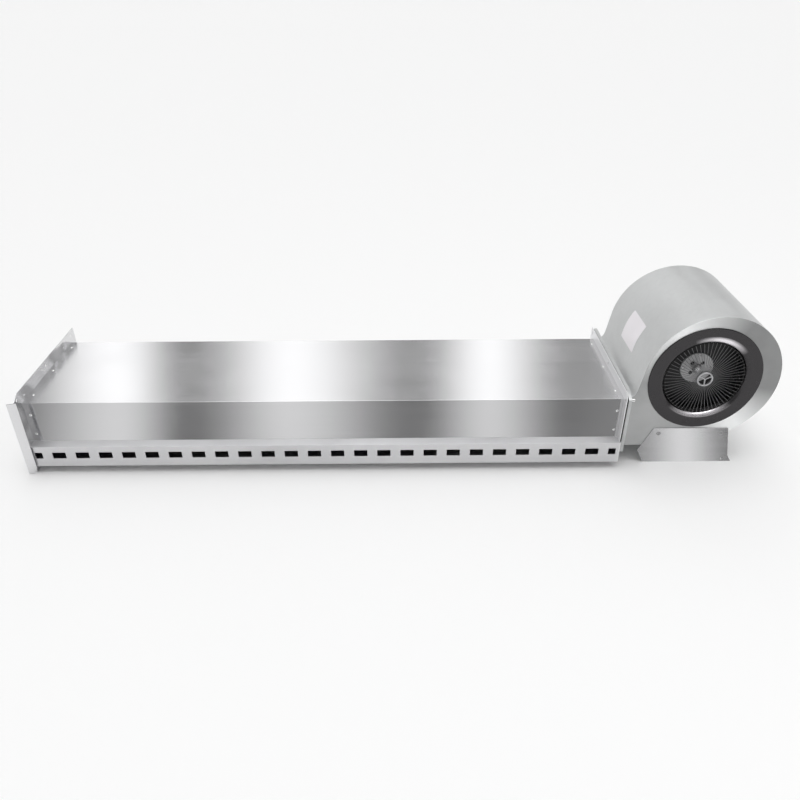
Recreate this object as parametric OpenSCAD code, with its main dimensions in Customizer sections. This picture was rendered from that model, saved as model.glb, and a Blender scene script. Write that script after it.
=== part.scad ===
/* [Duct] */
// Length of the air duct between its two end plates
duct_len = 1500; // [900:10:2000]
// Depth of the duct from its front face to its back
duct_depth = 330; // [300:5:400]
// Height of the front face above the ledge
front_h = 114; // [90:1:160]
// How far the nozzle strip stands forward of the front face
ledge_out = 29; // [22:1:45]
// Height of the nozzle strip below the ledge
strip_h = 60; // [52:1:90]
// Thickness of the folded duct sheet
duct_sheet = 1.2; // [0.8:0.1:1.6]
// Depth of the lip that the nozzle strip turns in under the duct
strip_lip = 24; // [16:1:40]

/* [Nozzle slots] */
// Length of one air slot
slot_len = 34; // [20:1:44]
// Height of one air slot
slot_h = 18.5; // [8:0.5:24]
// Distance from one slot to the next
slot_pitch = 59.2; // [52:0.1:80]
// Distance from the ledge down to the top of the slots
slot_drop = 17; // [10:1:22]
// Width of the land kept at each end of the strip
slot_land = 8; // [1:0.5:12]

/* [Inner sheet work] */
// Depth of the flow vane from front to back
vane_depth = 78; // [50:1:100]
// Height of the flow vane above the duct floor
vane_h = 16; // [8:1:20]
// Distance from the nozzle face to the edge of the vane
vane_gap = 12; // [6:1:20]
// Width of each hat-shaped brace under the top
brace_w = 40; // [24:1:60]
// Height of each brace
brace_h = 14; // [8:1:20]
// Distance between the two braces
brace_pitch = 500; // [300:10:800]

/* [End plates] */
// Thickness of the end plates
plate_t = 2; // [1.5:0.1:4]
// Height of the left plate above the duct top
left_rise = 33; // [24:1:60]
// How far the left plate stands forward of the front face
left_front = 34; // [30:1:60]
// How far both plates stand behind the duct
plate_back = 28; // [22:1:50]
// Width of the left plate's folded flange
left_flange = 18; // [14:1:40]
// Height of the cut at the left plate's lower front corner
toe_cut_h = 18; // [6:1:24]
// Width of that cut
toe_cut_w = 10; // [4:1:16]
// Length of the slope at both plates' upper front corners
crest_len = 30; // [10:1:40]
// How far the plates drop along that slope
crest_drop = 13; // [4:1:20]
// How far the left plate's flange reaches over the strip's end
flange_lip = 5; // [2:1:10]
// Gap between the nozzle strip and the ground
ground_gap = 20; // [4:1:40]
// Height of the right plate above the duct top
right_rise = 24; // [20:1:50]
// How far the right plate stands forward of the front face
right_front = 20; // [14:1:22]
// Radius of the fixing holes in the left plate
fix_hole_r = 4; // [2.5:0.25:5.5]
// Distance of the fixing holes from the left plate's top
fix_inset = 15; // [12:0.5:18]
// Distance of the first fixing hole from the left plate's front
fix_front = 17; // [12:0.5:24]
// Distance of the last one from its back
fix_back = 21; // [12:0.5:28]
// Length of the tabs that the plates turn into the duct
tab_len = 22; // [20:1:40]
// Width of sheet left round the air opening in the right plate
opening_margin = 3; // [2:0.5:6]

/* [Rivets] */
// Radius of a rivet head
rivet_head_r = 3.8; // [2.5:0.1:6]
// Height of a rivet head
rivet_head_h = 1.4; // [0.8:0.1:2.5]
// Radius of a rivet shank
rivet_r = 1.6; // [1:0.1:2.4]
// Distance of a rivet from the end of the sheet
rivet_edge = 12; // [8:0.5:16]
// Number of rivets along the back seam
seam_rivets = 9; // [4:1:14]

/* [Outlet joint] */
// Thickness of the gasket between duct and blower
gasket_t = 3; // [2:0.5:8]
// How far the gasket stands inside the flange's outline
gasket_inset = 2; // [1:0.5:4]
// Thickness of the blower's outlet flange
flange_t = 2; // [1.5:0.5:4]
// Width of the flange's folded rim
rim_w = 8; // [5:0.5:14]
// Width of the flange around the outlet
flange_w = 22; // [20:1:40]
// Width of the flange below the outlet
flange_foot = 5; // [4:1:20]
// Height of the blower's outlet
outlet_h = 141; // [120:1:160]
// Radius of the flange bolts
bolt_r = 4; // [2.5:0.5:5]
// Clearance around the bolts in their holes
bolt_play = 0.3; // [0.1:0.1:0.6]
// Distance across the corners of a bolt head
bolt_head_w = 15; // [10:0.5:16]
// Height of a bolt head
bolt_head_h = 5.5; // [3:0.5:8]
// Length of the front bolt's end beyond its nut
bolt_tail = 9; // [4:1:20]
// How far the front bolt sits below the other top bolts
bolt_set_down = 9; // [9:0.5:10]
// Radius of a washer
washer_r = 8; // [6:0.5:10]
// Thickness of a washer
washer_t = 1.6; // [1:0.1:2.5]

/* [Blower casing] */
// Distance from the duct's end to the fan axis
axis_out = 190; // [180:1:230]
// Height of the fan axis above the duct top
axis_up = 55; // [40:1:75]
// Radius of the casing's main curve
scroll_r = 168; // [164:1:190]
// Distance from the fan axis to the centre of the main curve
scroll_shift = 17; // [8:1:25]
// Radius of the bend where the casing meets the outlet
bend_r = 26; // [22:1:30]
// Thickness of the casing sheet
case_sheet = 1.2; // [0.8:0.1:2]
// Outer radius of the inlet ring
ring_r = 139; // [130:1:145]
// Radius of the open inlet
inlet_r = 98; // [90:1:98]
// Radius of the rolled lip
lip_r = 14; // [8:1:18]
// Thickness of the inlet ring's face
ring_t = 3; // [1.5:0.5:6]
// Length of the straight throat behind the lip
throat_len = 9; // [4:1:12]

/* [Guard] */
// Number of radial wires
wire_count = 60; // [24:4:72]
// Thickness of a wire
wire_w = 1.8; // [1:0.1:3]
// Width of the guard's rim
guard_rim_w = 2.5; // [2:0.5:5]
// Depth of the guard's rim
guard_rim_t = 2.5; // [1.5:0.5:4]
// Outer radius of the centre ring
guard_hub_r = 20; // [16:0.5:28]
// Width of the centre ring
guard_hub_w = 4.5; // [3:0.5:6]
// Depth of the centre ring
guard_hub_t = 5; // [3:0.5:8]

/* [Fan wheel] */
// Outer radius of the fan wheel
wheel_r = 114; // [106:1:118]
// Length of the blades between the wheel's rings
blade_len = 220; // [180:1:240]
// Depth of a blade from its outer to its inner edge
blade_depth = 13; // [8:0.5:16]
// Number of blades
blade_count = 44; // [24:2:56]
// Thickness of a blade
blade_t = 0.8; // [0.5:0.1:1.5]
// Thickness of the wheel's end rings
wheel_ring_t = 3; // [2:0.5:5]
// Gap between the inlet throat and the wheel
wheel_gap = 4; // [2:0.5:8]
// Distance from the casing's front to the wheel's disc
disc_set = 60; // [50:1:80]
// Thickness of the wheel's disc
disc_t = 2; // [1:0.5:4]
// Radius of the bright hub plate
hub_r = 42; // [34:1:50]
// Thickness of the hub plate
hub_t = 3; // [2:0.5:6]
// Radius of the hub's sleeve
sleeve_r = 11; // [11:0.5:14]
// Length of the hub's sleeve
sleeve_len = 12; // [8:1:16]
// Radius of the four cooling holes in the hub plate
hub_hole_r = 5; // [3:0.5:6]

/* [Motor] */
// Radius of the motor shaft
shaft_r = 6; // [5:0.5:8]
// Running clearance between shaft and bearings
shaft_play = 0.05; // [0.02:0.01:0.08]
// Radius of the motor shell
motor_r = 64; // [58:1:70]
// Length of the motor shell
motor_len = 170; // [140:1:180]
// Thickness of the motor shell
motor_wall = 2.5; // [1.5:0.5:4]
// Thickness of the motor's end covers
cover_t = 8; // [6:0.5:12]
// Distance from the wheel's disc to the motor
motor_gap = 22; // [14:1:30]
// Radius of a bearing
bearing_r = 16; // [13:0.5:20]
// Width of a bearing
bearing_w = 10; // [8:0.5:12]
// Length of the stator and rotor stacks
stack_len = 100; // [80:1:110]
// Radius of the rotor
rotor_r = 38; // [30:1:44]
// Gap between rotor and stator
air_gap = 0.5; // [0.3:0.1:1]
// Radius of the motor's mounting plate
mount_r = 95; // [86:1:100]
// Thickness of the mounting plate
mount_t = 3; // [2:0.5:5]
// Radius of the circle of damper bolts
damper_circle = 80; // [76:1:84]
// Radius of a rubber damper
damper_r = 11; // [9:0.5:13]
// Radius of the damper bolts
damper_bolt_r = 3; // [2:0.5:4]

/* [Terminal box] */
// Width of the terminal box
box_w = 96; // [84:1:110]
// Height of the terminal box
box_h = 92; // [84:1:100]
// Depth of the terminal box behind the casing
box_d = 42; // [40:1:60]
// Thickness of the box's walls
box_wall = 2.5; // [1.5:0.5:4]
// Thickness of the box's lid
lid_t = 2.5; // [1.5:0.5:4]
// Radius of the motor lead
lead_r = 4; // [3:0.5:6]
// Radius of the run capacitor
cap_r = 16; // [12:1:17]
// Length of the run capacitor
cap_len = 64; // [50:1:70]

/* [Feet and label] */
// Thickness of the foot brackets
foot_t = 2; // [1.5:0.5:4]
// Height of a foot bracket
foot_h = 105; // [95:1:118]
// Width of a foot bracket at its top
foot_top_w = 191; // [150:1:200]
// How far the middle of a bracket's top is left of the fan's axis
foot_shift = 5; // [0:1:10]
// Slope of the bracket's left side across its height
foot_slope = 31; // [10:1:40]
// Size of the cut at the bracket's lower left corner
foot_cut = 19; // [4:1:24]
// Width of the bracket's foot, folded back under the casing
foot_out = 20; // [13:1:40]
// Distance of the bracket screws from the bracket's edges
foot_screw_inset = 15; // [10:1:20]
// How far the bracket's right side leans out on its way down
foot_lean = 18; // [0:1:30]
// How much further out its lower right corner is
foot_flare = 11; // [0:1:16]
// Height of that corner
foot_flare_h = 19; // [6:1:24]
// Distance of the open hole in a bracket's face from the bracket's lower right corner
face_hole_in = 25; // [18:1:40]
// Height of that hole above the ground
face_hole_h = 8; // [6:0.5:14]
// Radius of that hole
face_hole_r = 3; // [2:0.25:3.5]
// Distance of the holes in the folded feet from the fold's ends
foot_hole_inset = 20; // [14:1:40]
// Radius of the holes in the folded feet
foot_hole_r = 3.5; // [2:0.25:4]
// Radius of the bracket screws
screw_r = 2.5; // [1.5:0.25:3]
// Radius of the bracket screws' heads
screw_head_r = 5.6; // [3.5:0.1:6]
// Depth of the blank label from front to back
label_d = 100; // [60:1:120]
// Thickness of the label
label_t = 0.3; // [0.2:0.1:0.6]

/* [Hidden] */
$fn = 64;
eps = 0.01;

// Finishes, as the eye sees them
stainless = [0.74, 0.75, 0.76];
galvanised = [0.80, 0.81, 0.80];
charcoal = [0.24, 0.24, 0.25];
wheel_grey = [0.36, 0.36, 0.38];
bright_metal = [0.82, 0.83, 0.84];
dark_rubber = [0.12, 0.12, 0.12];
motor_grey = [0.45, 0.46, 0.48];
copper = [0.72, 0.42, 0.24];

// Duct levels: the duct top is at height 0 here, and place() lifts it to its own height
duct_half = duct_len / 2;
ledge_z = -front_h;
strip_z = ledge_z - strip_h;
ground_z = strip_z - ground_gap;
strip_y = -ledge_out;
slot_top = ledge_z - slot_drop;
slot_bottom = slot_top - slot_h;
slot_count = floor(duct_len / slot_pitch) + 1;
back_y = duct_depth + plate_back;

// Outlet joint, from the duct's end outwards
gasket_x = duct_half + plate_t;
flange_x = gasket_x + gasket_t;
flange_end = flange_x + flange_t;
flange_low = -outlet_h - flange_foot;
flange_outline = [
    [-flange_w, flange_low], [duct_depth + flange_w, flange_low], [duct_depth + flange_w, flange_w],
    [-flange_w + crest_len, flange_w], [-flange_w, flange_w - crest_drop]];
front_bolt = [-flange_w / 2, flange_w / 2 - bolt_set_down];
flange_bolt_spots = [
    front_bolt, [duct_depth / 2, flange_w / 2],
    for (z = [flange_w / 2, -outlet_h * 0.5, -outlet_h + flange_w / 2]) [duct_depth + flange_w / 2, z]];
bolt_recess = 1;

// Fan axis and the casing's curves
fan_x = duct_half + axis_out;
fan_z = axis_up;
bend_c = [flange_x, bend_r];
main_c = [fan_x + scroll_shift, fan_z - 1];
low_turn = 45;
low_start = 4;
low_r = (main_c[1] + outlet_h - scroll_r * sin(low_turn)) / (1 - sin(low_turn));
low_c = main_c + (scroll_r - low_r) * [cos(low_turn), -sin(low_turn)];
between = main_c - bend_c;
lean = atan2(between[1], between[0]) - acos((bend_r + scroll_r) / norm(between));

// Places along the fan axis
lip_end = lip_r - ring_t;
throat_end = lip_end + throat_len;
wheel_y = throat_end + wheel_gap;
blade_y = wheel_y + wheel_ring_t;
blade_end = blade_y + blade_len;
blade_in = wheel_r - blade_depth;
hub_y = disc_set - hub_t;
motor_y = disc_set + disc_t + motor_gap;
shell_y = motor_y + cover_t;
shell_end = shell_y + motor_len;
motor_end = shell_end + cover_t;
mount_y = motor_end;
damper_y = mount_y + mount_t;
case_inside = duct_depth - case_sheet;
damper_bolt_in = 15;
damper_head_h = 4;
stack_y = shell_y + (motor_len - stack_len) / 2;
winding_len = 22;
winding_r = motor_r - motor_wall - 4;
shaft_start = hub_y - sleeve_len + 2;
shaft_end = motor_end - 2;
motor_screw_r = 2.5;
motor_screw_circle = 54;
motor_screw_in = 2.5;
motor_head_h = 3;
seat_play = 0.02;

// Terminal box, low on the right of the casing's back
box_x = fan_x + 12;
box_top = fan_z - 14;
box_low = box_top - box_h;
box_back = duct_depth + box_d;
lead_x = fan_x + 24;
lead_z = fan_z - 54;
grommet_r = lead_r + 3;
collar_t = 3;
lid_screw_r = 2;
lid_inset = 5;
gland_r = 7;
gland_hole = 4.5;
gland_len = 22;
gland_nut_h = 3;
gland_body_h = 8;
gland_cap_h = 9;

// Foot brackets
foot_right = fan_x + foot_top_w / 2 - foot_shift;
foot_left = foot_right - foot_top_w;
foot_top = ground_z + foot_h;
foot_chamfer_h = foot_h * 0.36;
foot_screw_x = [foot_left + foot_screw_inset, foot_right - foot_screw_inset];
foot_screw_z = foot_top - foot_screw_inset;
foot_low_left = foot_left - foot_slope + foot_cut;
foot_low_right = foot_right + foot_lean + foot_flare;
foot_hole_x = [foot_low_left + foot_hole_inset, foot_low_right - foot_hole_inset];
foot_hole_y = foot_out / 2;
foot_screw_len = 8;
foot_head_h = 2.6;

// Guard, just inside the lip
guard_y = 2;
rim_play = 0.3;
rim_front = guard_y + wire_w;
rim_back = rim_front + guard_rim_t;
guard_reach = lip_r - sqrt(pow(lip_r, 2) - pow(lip_end - rim_back, 2));
guard_r = inlet_r + guard_reach - rim_play;

// Label on the upper left of the wrapper
label_y = 114;
label_angle = 148;
label_tail = 15;
label_gap = 0.05;

// The middle of the whole part, which stands over the origin
left_end = -duct_half - plate_t - left_flange;
right_end = main_c[0] + scroll_r;
mid_x = (left_end + right_end) / 2;
lid_back = box_back + lid_t;
lid_head_h = 1.6;
mid_y = (lid_back + lid_head_h - left_front) / 2;

module place() translate([-mid_x, -mid_y, -ground_z]) children();

// A profile drawn in depth and height, pushed from x0 to x1
module along(x0, x1) translate([x0, 0, 0]) rotate([90, 0, 90]) linear_extrude(x1 - x0) children();

// A profile drawn in width and height, pushed from front y0 to back y1
module across(y0, y1) translate([0, y1, 0]) rotate([90, 0, 0]) linear_extrude(y1 - y0) children();

// A box from one corner to the other
module block(low, high) translate(low) cube(high - low);

// Turned pieces: local height runs to the back along the fan axis
module on_axis() translate([fan_x, 0, fan_z]) rotate([-90, 0, 0]) children();

module tube_piece(r_out, r_in, y0, y1) on_axis() translate([0, 0, y0]) difference() {
    cylinder(h = y1 - y0, r = r_out);
    translate([0, 0, -1]) cylinder(h = y1 - y0 + 2, r = r_in);
}

// A round bar or bore along X, Y or Z
module bar_x(x0, x1, y, z, r) translate([x0, y, z]) rotate([0, 90, 0]) cylinder(h = x1 - x0, r = r);
module bar_y(y0, y1, x, z, r) translate([x, y0, z]) rotate([-90, 0, 0]) cylinder(h = y1 - y0, r = r);
module bar_z(z0, z1, x, y, r) translate([x, y, z0]) cylinder(h = z1 - z0, r = r);

// Places of the rivets at both ends of the cover
rivet_x = [-duct_half + rivet_edge, duct_half - rivet_edge];
top_rivet_y = [duct_depth * 0.12, duct_depth * 0.5, duct_depth * 0.9];
front_rivet_z = [-front_h * 0.31, -front_h * 0.81];
seam_z = -rivet_edge;
seam_step = (duct_len - 4 * rivet_edge) / (seam_rivets - 1);
function seam_x(i) = -duct_half + 2 * rivet_edge + i * seam_step;

module cover_rivet_bores(r, depth) {
    for (x = rivet_x, y = top_rivet_y) bar_z(-depth, 1, x, y, r);
    for (x = rivet_x, z = front_rivet_z) bar_y(-1, depth, x, z, r);
}

module seam_rivet_bores(r, depth)
    for (i = [0 : seam_rivets - 1]) bar_y(duct_depth - depth, duct_depth + 1, seam_x(i), seam_z, r);

module duct_cover() color(stainless) place() difference() {
    along(-duct_half, duct_half) polygon([[0, ledge_z], [duct_sheet, ledge_z],
        [duct_sheet, -duct_sheet], [duct_depth - duct_sheet, -duct_sheet],
        [duct_depth - duct_sheet, -2 * rivet_edge], [duct_depth, -2 * rivet_edge],
        [duct_depth, 0], [0, 0]]);
    cover_rivet_bores(rivet_r, 3 * duct_sheet);
    seam_rivet_bores(rivet_r, 3 * duct_sheet);
}

// The back wall tucks up behind the cover's turned edge, and its floor meets the strip's lip
module duct_back_panel() color(stainless) place() difference() {
    along(-duct_half, duct_half) polygon([[strip_lip, strip_z], [duct_depth, strip_z],
        [duct_depth, -2 * rivet_edge], [duct_depth - duct_sheet, -2 * rivet_edge],
        [duct_depth - duct_sheet, -2 * duct_sheet], [duct_depth - 2 * duct_sheet, -2 * duct_sheet],
        [duct_depth - 2 * duct_sheet, strip_z + duct_sheet], [strip_lip, strip_z + duct_sheet]]);
    seam_rivet_bores(rivet_r, 3 * duct_sheet);
}

module slot_cuts() intersection() {
    for (i = [0 : slot_count - 1])
        translate([(i - (slot_count - 1) / 2) * slot_pitch - slot_len / 2, strip_y - 1, slot_bottom])
            cube([slot_len, duct_sheet + 2, slot_h]);
    block([-duct_half + slot_land, strip_y - 2, strip_z], [duct_half - slot_land, 0, ledge_z]);
}

module nozzle_strip() color(stainless) place() difference() {
    along(-duct_half, duct_half) polygon([[strip_y, strip_z], [strip_lip, strip_z],
        [strip_lip, strip_z + duct_sheet], [strip_y + duct_sheet, strip_z + duct_sheet],
        [strip_y + duct_sheet, ledge_z - duct_sheet], [2 * duct_sheet, ledge_z - duct_sheet],
        [2 * duct_sheet, ledge_z + rivet_edge], [duct_sheet, ledge_z + rivet_edge],
        [duct_sheet, ledge_z], [strip_y, ledge_z]]);
    slot_cuts();
}

// A level shelf on the duct floor that turns the air towards the slots
module flow_vane() color(stainless) place() {
    vane_front = strip_y + vane_gap;
    vane_end = vane_front + vane_depth;
    floor_z = strip_z + duct_sheet;
    along(-duct_half + 3, duct_half - 3) polygon([[vane_front, floor_z + vane_h - duct_sheet],
        [vane_end - duct_sheet, floor_z + vane_h - duct_sheet], [vane_end - duct_sheet, floor_z],
        [vane_end, floor_z], [vane_end, floor_z + vane_h], [vane_front, floor_z + vane_h]]);
}

module cover_braces() color(stainless) place()
    for (side = [-1, 1]) translate([side * brace_pitch / 2, 0, 0])
        across(2 * duct_sheet + 1, duct_depth - 3 * duct_sheet - 1) {
            half = brace_w / 2;
            foot = brace_w * 0.3;
            top = -duct_sheet;
            polygon([[-half, top], [-half + foot, top], [-half + foot, top - brace_h + duct_sheet],
                [half - foot, top - brace_h + duct_sheet], [half - foot, top], [half, top],
                [half, top - duct_sheet], [half - foot + duct_sheet, top - duct_sheet],
                [half - foot + duct_sheet, top - brace_h], [-half + foot - duct_sheet, top - brace_h],
                [-half + foot - duct_sheet, top - duct_sheet], [-half, top - duct_sheet]]);
        }

// Tabs folded from an end plate into the duct, under the rivets
module end_tabs(x0, x1) difference() {
    union() {
        block([x0, duct_depth * 0.06, -2 * duct_sheet], [x1, duct_depth * 0.94, -duct_sheet]);
        block([x0, duct_sheet, ledge_z + rivet_edge * 5 / 3], [x1, 2 * duct_sheet, -front_h * 0.12]);
        block([x0, duct_depth - 3 * duct_sheet, strip_z + tab_len],
            [x1, duct_depth - 2 * duct_sheet, -front_h * 0.3]);
    }
    cover_rivet_bores(rivet_r, 4 * duct_sheet);
}

fix_ends = [-left_front + fix_front, back_y - fix_back];
fix_hole_y = [fix_ends[0], (fix_ends[0] + fix_ends[1]) / 2, fix_ends[1]];
fix_hole_z = left_rise - fix_inset;
toe_hole_y = [duct_depth * 0.2, duct_depth * 0.8];
toe_x = -duct_half - plate_t - left_flange / 2;

module left_end_plate() color(stainless) place() {
    plate_x = -duct_half - plate_t;
    flange_in = -duct_half + flange_lip;
    flange_out = plate_x - left_flange;
    crest_z = left_rise - crest_drop;
    difference() {
        union() {
            along(plate_x, -duct_half) polygon([
                [-left_front, crest_z], [-left_front, ground_z + toe_cut_h],
                [-left_front + toe_cut_w, ground_z], [back_y, ground_z],
                [back_y, left_rise], [-left_front + crest_len, left_rise]]);
            across(-left_front, -left_front + plate_t) polygon([
                [flange_in, crest_z], [flange_in, ground_z + toe_cut_h],
                [flange_in - toe_cut_w, ground_z], [flange_out, ground_z],
                [flange_out, crest_z - left_flange * 0.2]]);
            block([flange_out, -left_front, ground_z], [plate_x, back_y, ground_z + plate_t]);
        }
        for (y = fix_hole_y) bar_x(plate_x - 1, -duct_half + 1, y, fix_hole_z, fix_hole_r);
        for (y = toe_hole_y) bar_z(ground_z - 1, ground_z + plate_t + 1, toe_x, y, fix_hole_r);
    }
    end_tabs(-duct_half, -duct_half + tab_len);
}

module bolt_places(x0, x1, r) {
    for (spot = flange_bolt_spots) bar_x(x0, x1, spot[0], spot[1], r);
}

// The right plate is an open frame, because the blower feeds the duct through it
module right_end_plate() color(stainless) place() {
    difference() {
        along(duct_half, gasket_x) polygon([
            [strip_y, strip_z], [back_y, strip_z], [back_y, right_rise],
            [-right_front + crest_len, right_rise], [-right_front, right_rise - crest_drop],
            [-right_front, ledge_z], [strip_y, ledge_z]]);
        block([duct_half - 1, opening_margin, -outlet_h + opening_margin],
            [gasket_x + 1, duct_depth - opening_margin, -opening_margin]);
        bolt_places(duct_half - 1, gasket_x + 1, bolt_r + seat_play);
    }
    end_tabs(duct_half - tab_len, duct_half);
}

// A low round head, whose dome has a radius of bulge times its own
module domed_head(r, h, bulge) rotate_extrude() intersection() {
    translate([0, h - r * bulge]) circle(r * bulge);
    square([r, h]);
}

// A head on a short shank, standing up along Z from the origin
module rivet(shank) {
    domed_head(rivet_head_r, rivet_head_h, 1.4);
    translate([0, 0, -shank]) cylinder(h = shank, r = rivet_r - seat_play);
}

module cover_rivets() color(bright_metal) place() {
    for (x = rivet_x, y = top_rivet_y) translate([x, y, 0]) rivet(3 * duct_sheet);
    for (x = rivet_x, z = front_rivet_z) translate([x, 0, z]) rotate([90, 0, 0]) rivet(3 * duct_sheet);
}

module seam_rivet_row() color(bright_metal) place()
    for (i = [0 : seam_rivets - 1])
        translate([seam_x(i), duct_depth, seam_z]) rotate([-90, 0, 0]) rivet(3 * duct_sheet);

module flange_gasket() color(dark_rubber) place() difference() {
    along(gasket_x, flange_x) offset(delta = -gasket_inset) polygon(flange_outline);
    block([gasket_x - 1, opening_margin, -outlet_h + opening_margin],
        [flange_x + 1, duct_depth - opening_margin, -opening_margin]);
    bolt_places(gasket_x - 1, flange_x + 1, bolt_r + bolt_play);
}

module outlet_flange() color(galvanised) place() difference() {
    along(flange_x, flange_x + rim_w) polygon(flange_outline);
    along(flange_end, flange_x + rim_w + 1) offset(delta = -flange_t) polygon(flange_outline);
    translate([-1, 0, 0]) across(0, duct_depth) scroll_outline(0);
    block([flange_x - 1, 0, -outlet_h], [flange_end + 1, duct_depth, bend_c[1] - bend_r]);
    bolt_places(flange_x - 1, flange_end + 1, bolt_r + bolt_play);
}

module flange_bolts() color(bright_metal) place() {
    seat = flange_end + washer_t;
    bolt_places(duct_half + bolt_recess, seat, bolt_r);
    for (spot = flange_bolt_spots) hex_head(seat, spot[0], spot[1]);
    bar_x(seat, seat + bolt_head_h + bolt_tail, front_bolt[0], front_bolt[1], bolt_r);
}

module hex_head(x, y, z) translate([x, y, z]) rotate([0, 90, 0])
    cylinder(h = bolt_head_h, d = bolt_head_w, $fn = 6);

module flange_washers() color(bright_metal) place() difference() {
    bolt_places(flange_end, flange_end + washer_t, washer_r);
    bolt_places(flange_end - 1, flange_end + washer_t + 1, bolt_r + bolt_play);
}

// The casing's side outline, set in by a sheet: bend, slope, main curve, lower curve, floor
function arc(c, r, a0, a1, n) = [for (i = [0 : n]) let (a = a0 + (a1 - a0) * i / n) c + r * [cos(a), sin(a)]];
function scroll_points(inset) = concat(
    arc(bend_c, bend_r + inset, -90, lean, 8),
    arc(main_c, scroll_r - inset, lean + 180, -low_turn, 56),
    arc(low_c, low_r - inset, -low_turn - low_start, -90, 12),
    [[flange_x, -outlet_h + inset]]);
module scroll_outline(inset) polygon(scroll_points(inset));

module scroll_wrapper() color(galvanised) place() across(case_sheet, case_inside) difference() {
    scroll_outline(0);
    scroll_outline(case_sheet);
    translate([flange_x - 1, -outlet_h + case_sheet]) square([1 + eps, outlet_h - 2 * case_sheet]);
}

module front_side_plate() color(galvanised) place() difference() {
    across(0, case_sheet) scroll_outline(0);
    on_axis() translate([0, 0, -1]) cylinder(h = case_sheet + 2, r = inlet_r + lip_r + 2);
    for (x = foot_screw_x) bar_y(-1, case_sheet + 1, x, foot_screw_z, screw_r + seat_play);
}

module back_side_plate() color(galvanised) place() difference() {
    across(case_inside, duct_depth) scroll_outline(0);
    damper_bores(case_inside - 1, duct_depth + 1, damper_bolt_r + bolt_play);
    bar_y(case_inside - 1, duct_depth + 1, lead_x, lead_z, grommet_r - 1);
    for (x = foot_screw_x) bar_y(case_inside - 1, duct_depth + 1, x, foot_screw_z, screw_r + seat_play);
}

// Flat ring, rolled lip and straight throat, one spun sheet
module inlet_ring() color(charcoal) place() on_axis() rotate_extrude($fn = 96) {
    lip_c = [inlet_r + lip_r, lip_end];
    inner_lip = lip_r - ring_t;
    polygon(concat([[ring_r, 0], [ring_r - 1.5, -ring_t]], arc(lip_c, lip_r, 270, 180, 12),
        [[inlet_r, throat_end], [inlet_r + ring_t, throat_end]], arc(lip_c, inner_lip, 180, 270, 10)));
}

module guard_rim() color(wheel_grey) place()
    tube_piece(guard_r, guard_r - guard_rim_w, rim_front, rim_back);

// Straight wires lie on the rim and end at the centre ring
module guard_wires() color(wheel_grey) place() on_axis() translate([0, 0, guard_y])
    for (i = [0 : wire_count - 1]) rotate(i * 360 / wire_count)
        translate([guard_hub_r, -wire_w / 2, 0]) cube([guard_r - rim_play - guard_hub_r, wire_w, wire_w]);

module guard_hub() color(bright_metal) place() on_axis()
    translate([0, 0, guard_y + wire_w / 2 - guard_hub_t]) linear_extrude(guard_hub_t) {
        difference() {
            circle(guard_hub_r);
            circle(guard_hub_r - guard_hub_w);
        }
        for (i = [0 : 2]) rotate(90 + i * 120) translate([0, -guard_hub_w / 3])
            square([guard_hub_r - guard_hub_w / 2, guard_hub_w * 2 / 3]);
    }

module wheel_front_ring() color(wheel_grey) place()
    tube_piece(wheel_r, blade_in, wheel_y, blade_y);

module wheel_back_ring() color(wheel_grey) place()
    tube_piece(wheel_r, blade_in, blade_end, blade_end + wheel_ring_t);

// One forward-curved blade, drawn in three straight steps
module blade_outline() {
    hook = blade_depth / 2;
    sweep = [[blade_in + 0.3, 0], [blade_in + blade_depth * 0.4, hook * 0.18],
        [blade_in + blade_depth * 0.75, hook * 0.52], [wheel_r - 0.8, hook]];
    polygon(concat(sweep, [for (i = [3 : -1 : 0]) sweep[i] + [0, blade_t]]));
}

module wheel_blades() color(wheel_grey) place() on_axis() translate([0, 0, blade_y])
    for (i = [0 : blade_count - 1]) rotate(i * 360 / blade_count)
        linear_extrude(blade_len) blade_outline();

module wheel_disc() color(wheel_grey) place()
    tube_piece(blade_in, sleeve_r + 2, disc_set, disc_set + disc_t);

// Bright plate on the disc with a sleeve that grips the shaft
module wheel_hub() color(bright_metal) place() difference() {
    union() {
        on_axis() translate([0, 0, hub_y]) cylinder(h = hub_t, r = hub_r);
        on_axis() translate([0, 0, hub_y - sleeve_len]) cylinder(h = sleeve_len + 1, r = sleeve_r);
    }
    on_axis() translate([0, 0, hub_y - sleeve_len - 1])
        cylinder(h = sleeve_len + hub_t + 2, r = shaft_r + seat_play);
    for (i = [0 : 3]) on_axis() rotate(i * 90 + 45) translate([hub_r * 0.45, 0, hub_y - 1])
        cylinder(h = hub_t + 2, r = hub_hole_r);
    set_screw_bore(screw_r + seat_play);
}

set_screw_y = hub_y - sleeve_len / 2;
module set_screw_bore(r) translate([fan_x, set_screw_y, fan_z + shaft_r + 0.5])
    cylinder(h = sleeve_r, r = r);

module hub_set_screw() color(dark_rubber) place() translate([fan_x, set_screw_y, fan_z + shaft_r + 0.5])
    cylinder(h = sleeve_r - shaft_r - 1, r = screw_r);

module hub_rivets() color(bright_metal) place()
    for (i = [0 : 3]) on_axis() rotate(i * 90) translate([hub_r * 0.8, 0, hub_y]) rotate([180, 0, 0])
        cylinder(h = rivet_head_h, r = rivet_head_r);

module motor_shaft() color(bright_metal) place()
    on_axis() translate([0, 0, shaft_start]) cylinder(h = shaft_end - shaft_start, r = shaft_r);

module rotor_core() color(motor_grey) place()
    tube_piece(rotor_r, shaft_r + seat_play, stack_y, stack_y + stack_len);

front_bearing_y = motor_y + 1;
rear_bearing_y = motor_end - 1 - bearing_w;
module bearing(y0) tube_piece(bearing_r, shaft_r + shaft_play, y0, y0 + bearing_w);
module front_bearing() color(bright_metal) place() bearing(front_bearing_y);
module rear_bearing() color(bright_metal) place() bearing(rear_bearing_y);

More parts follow.
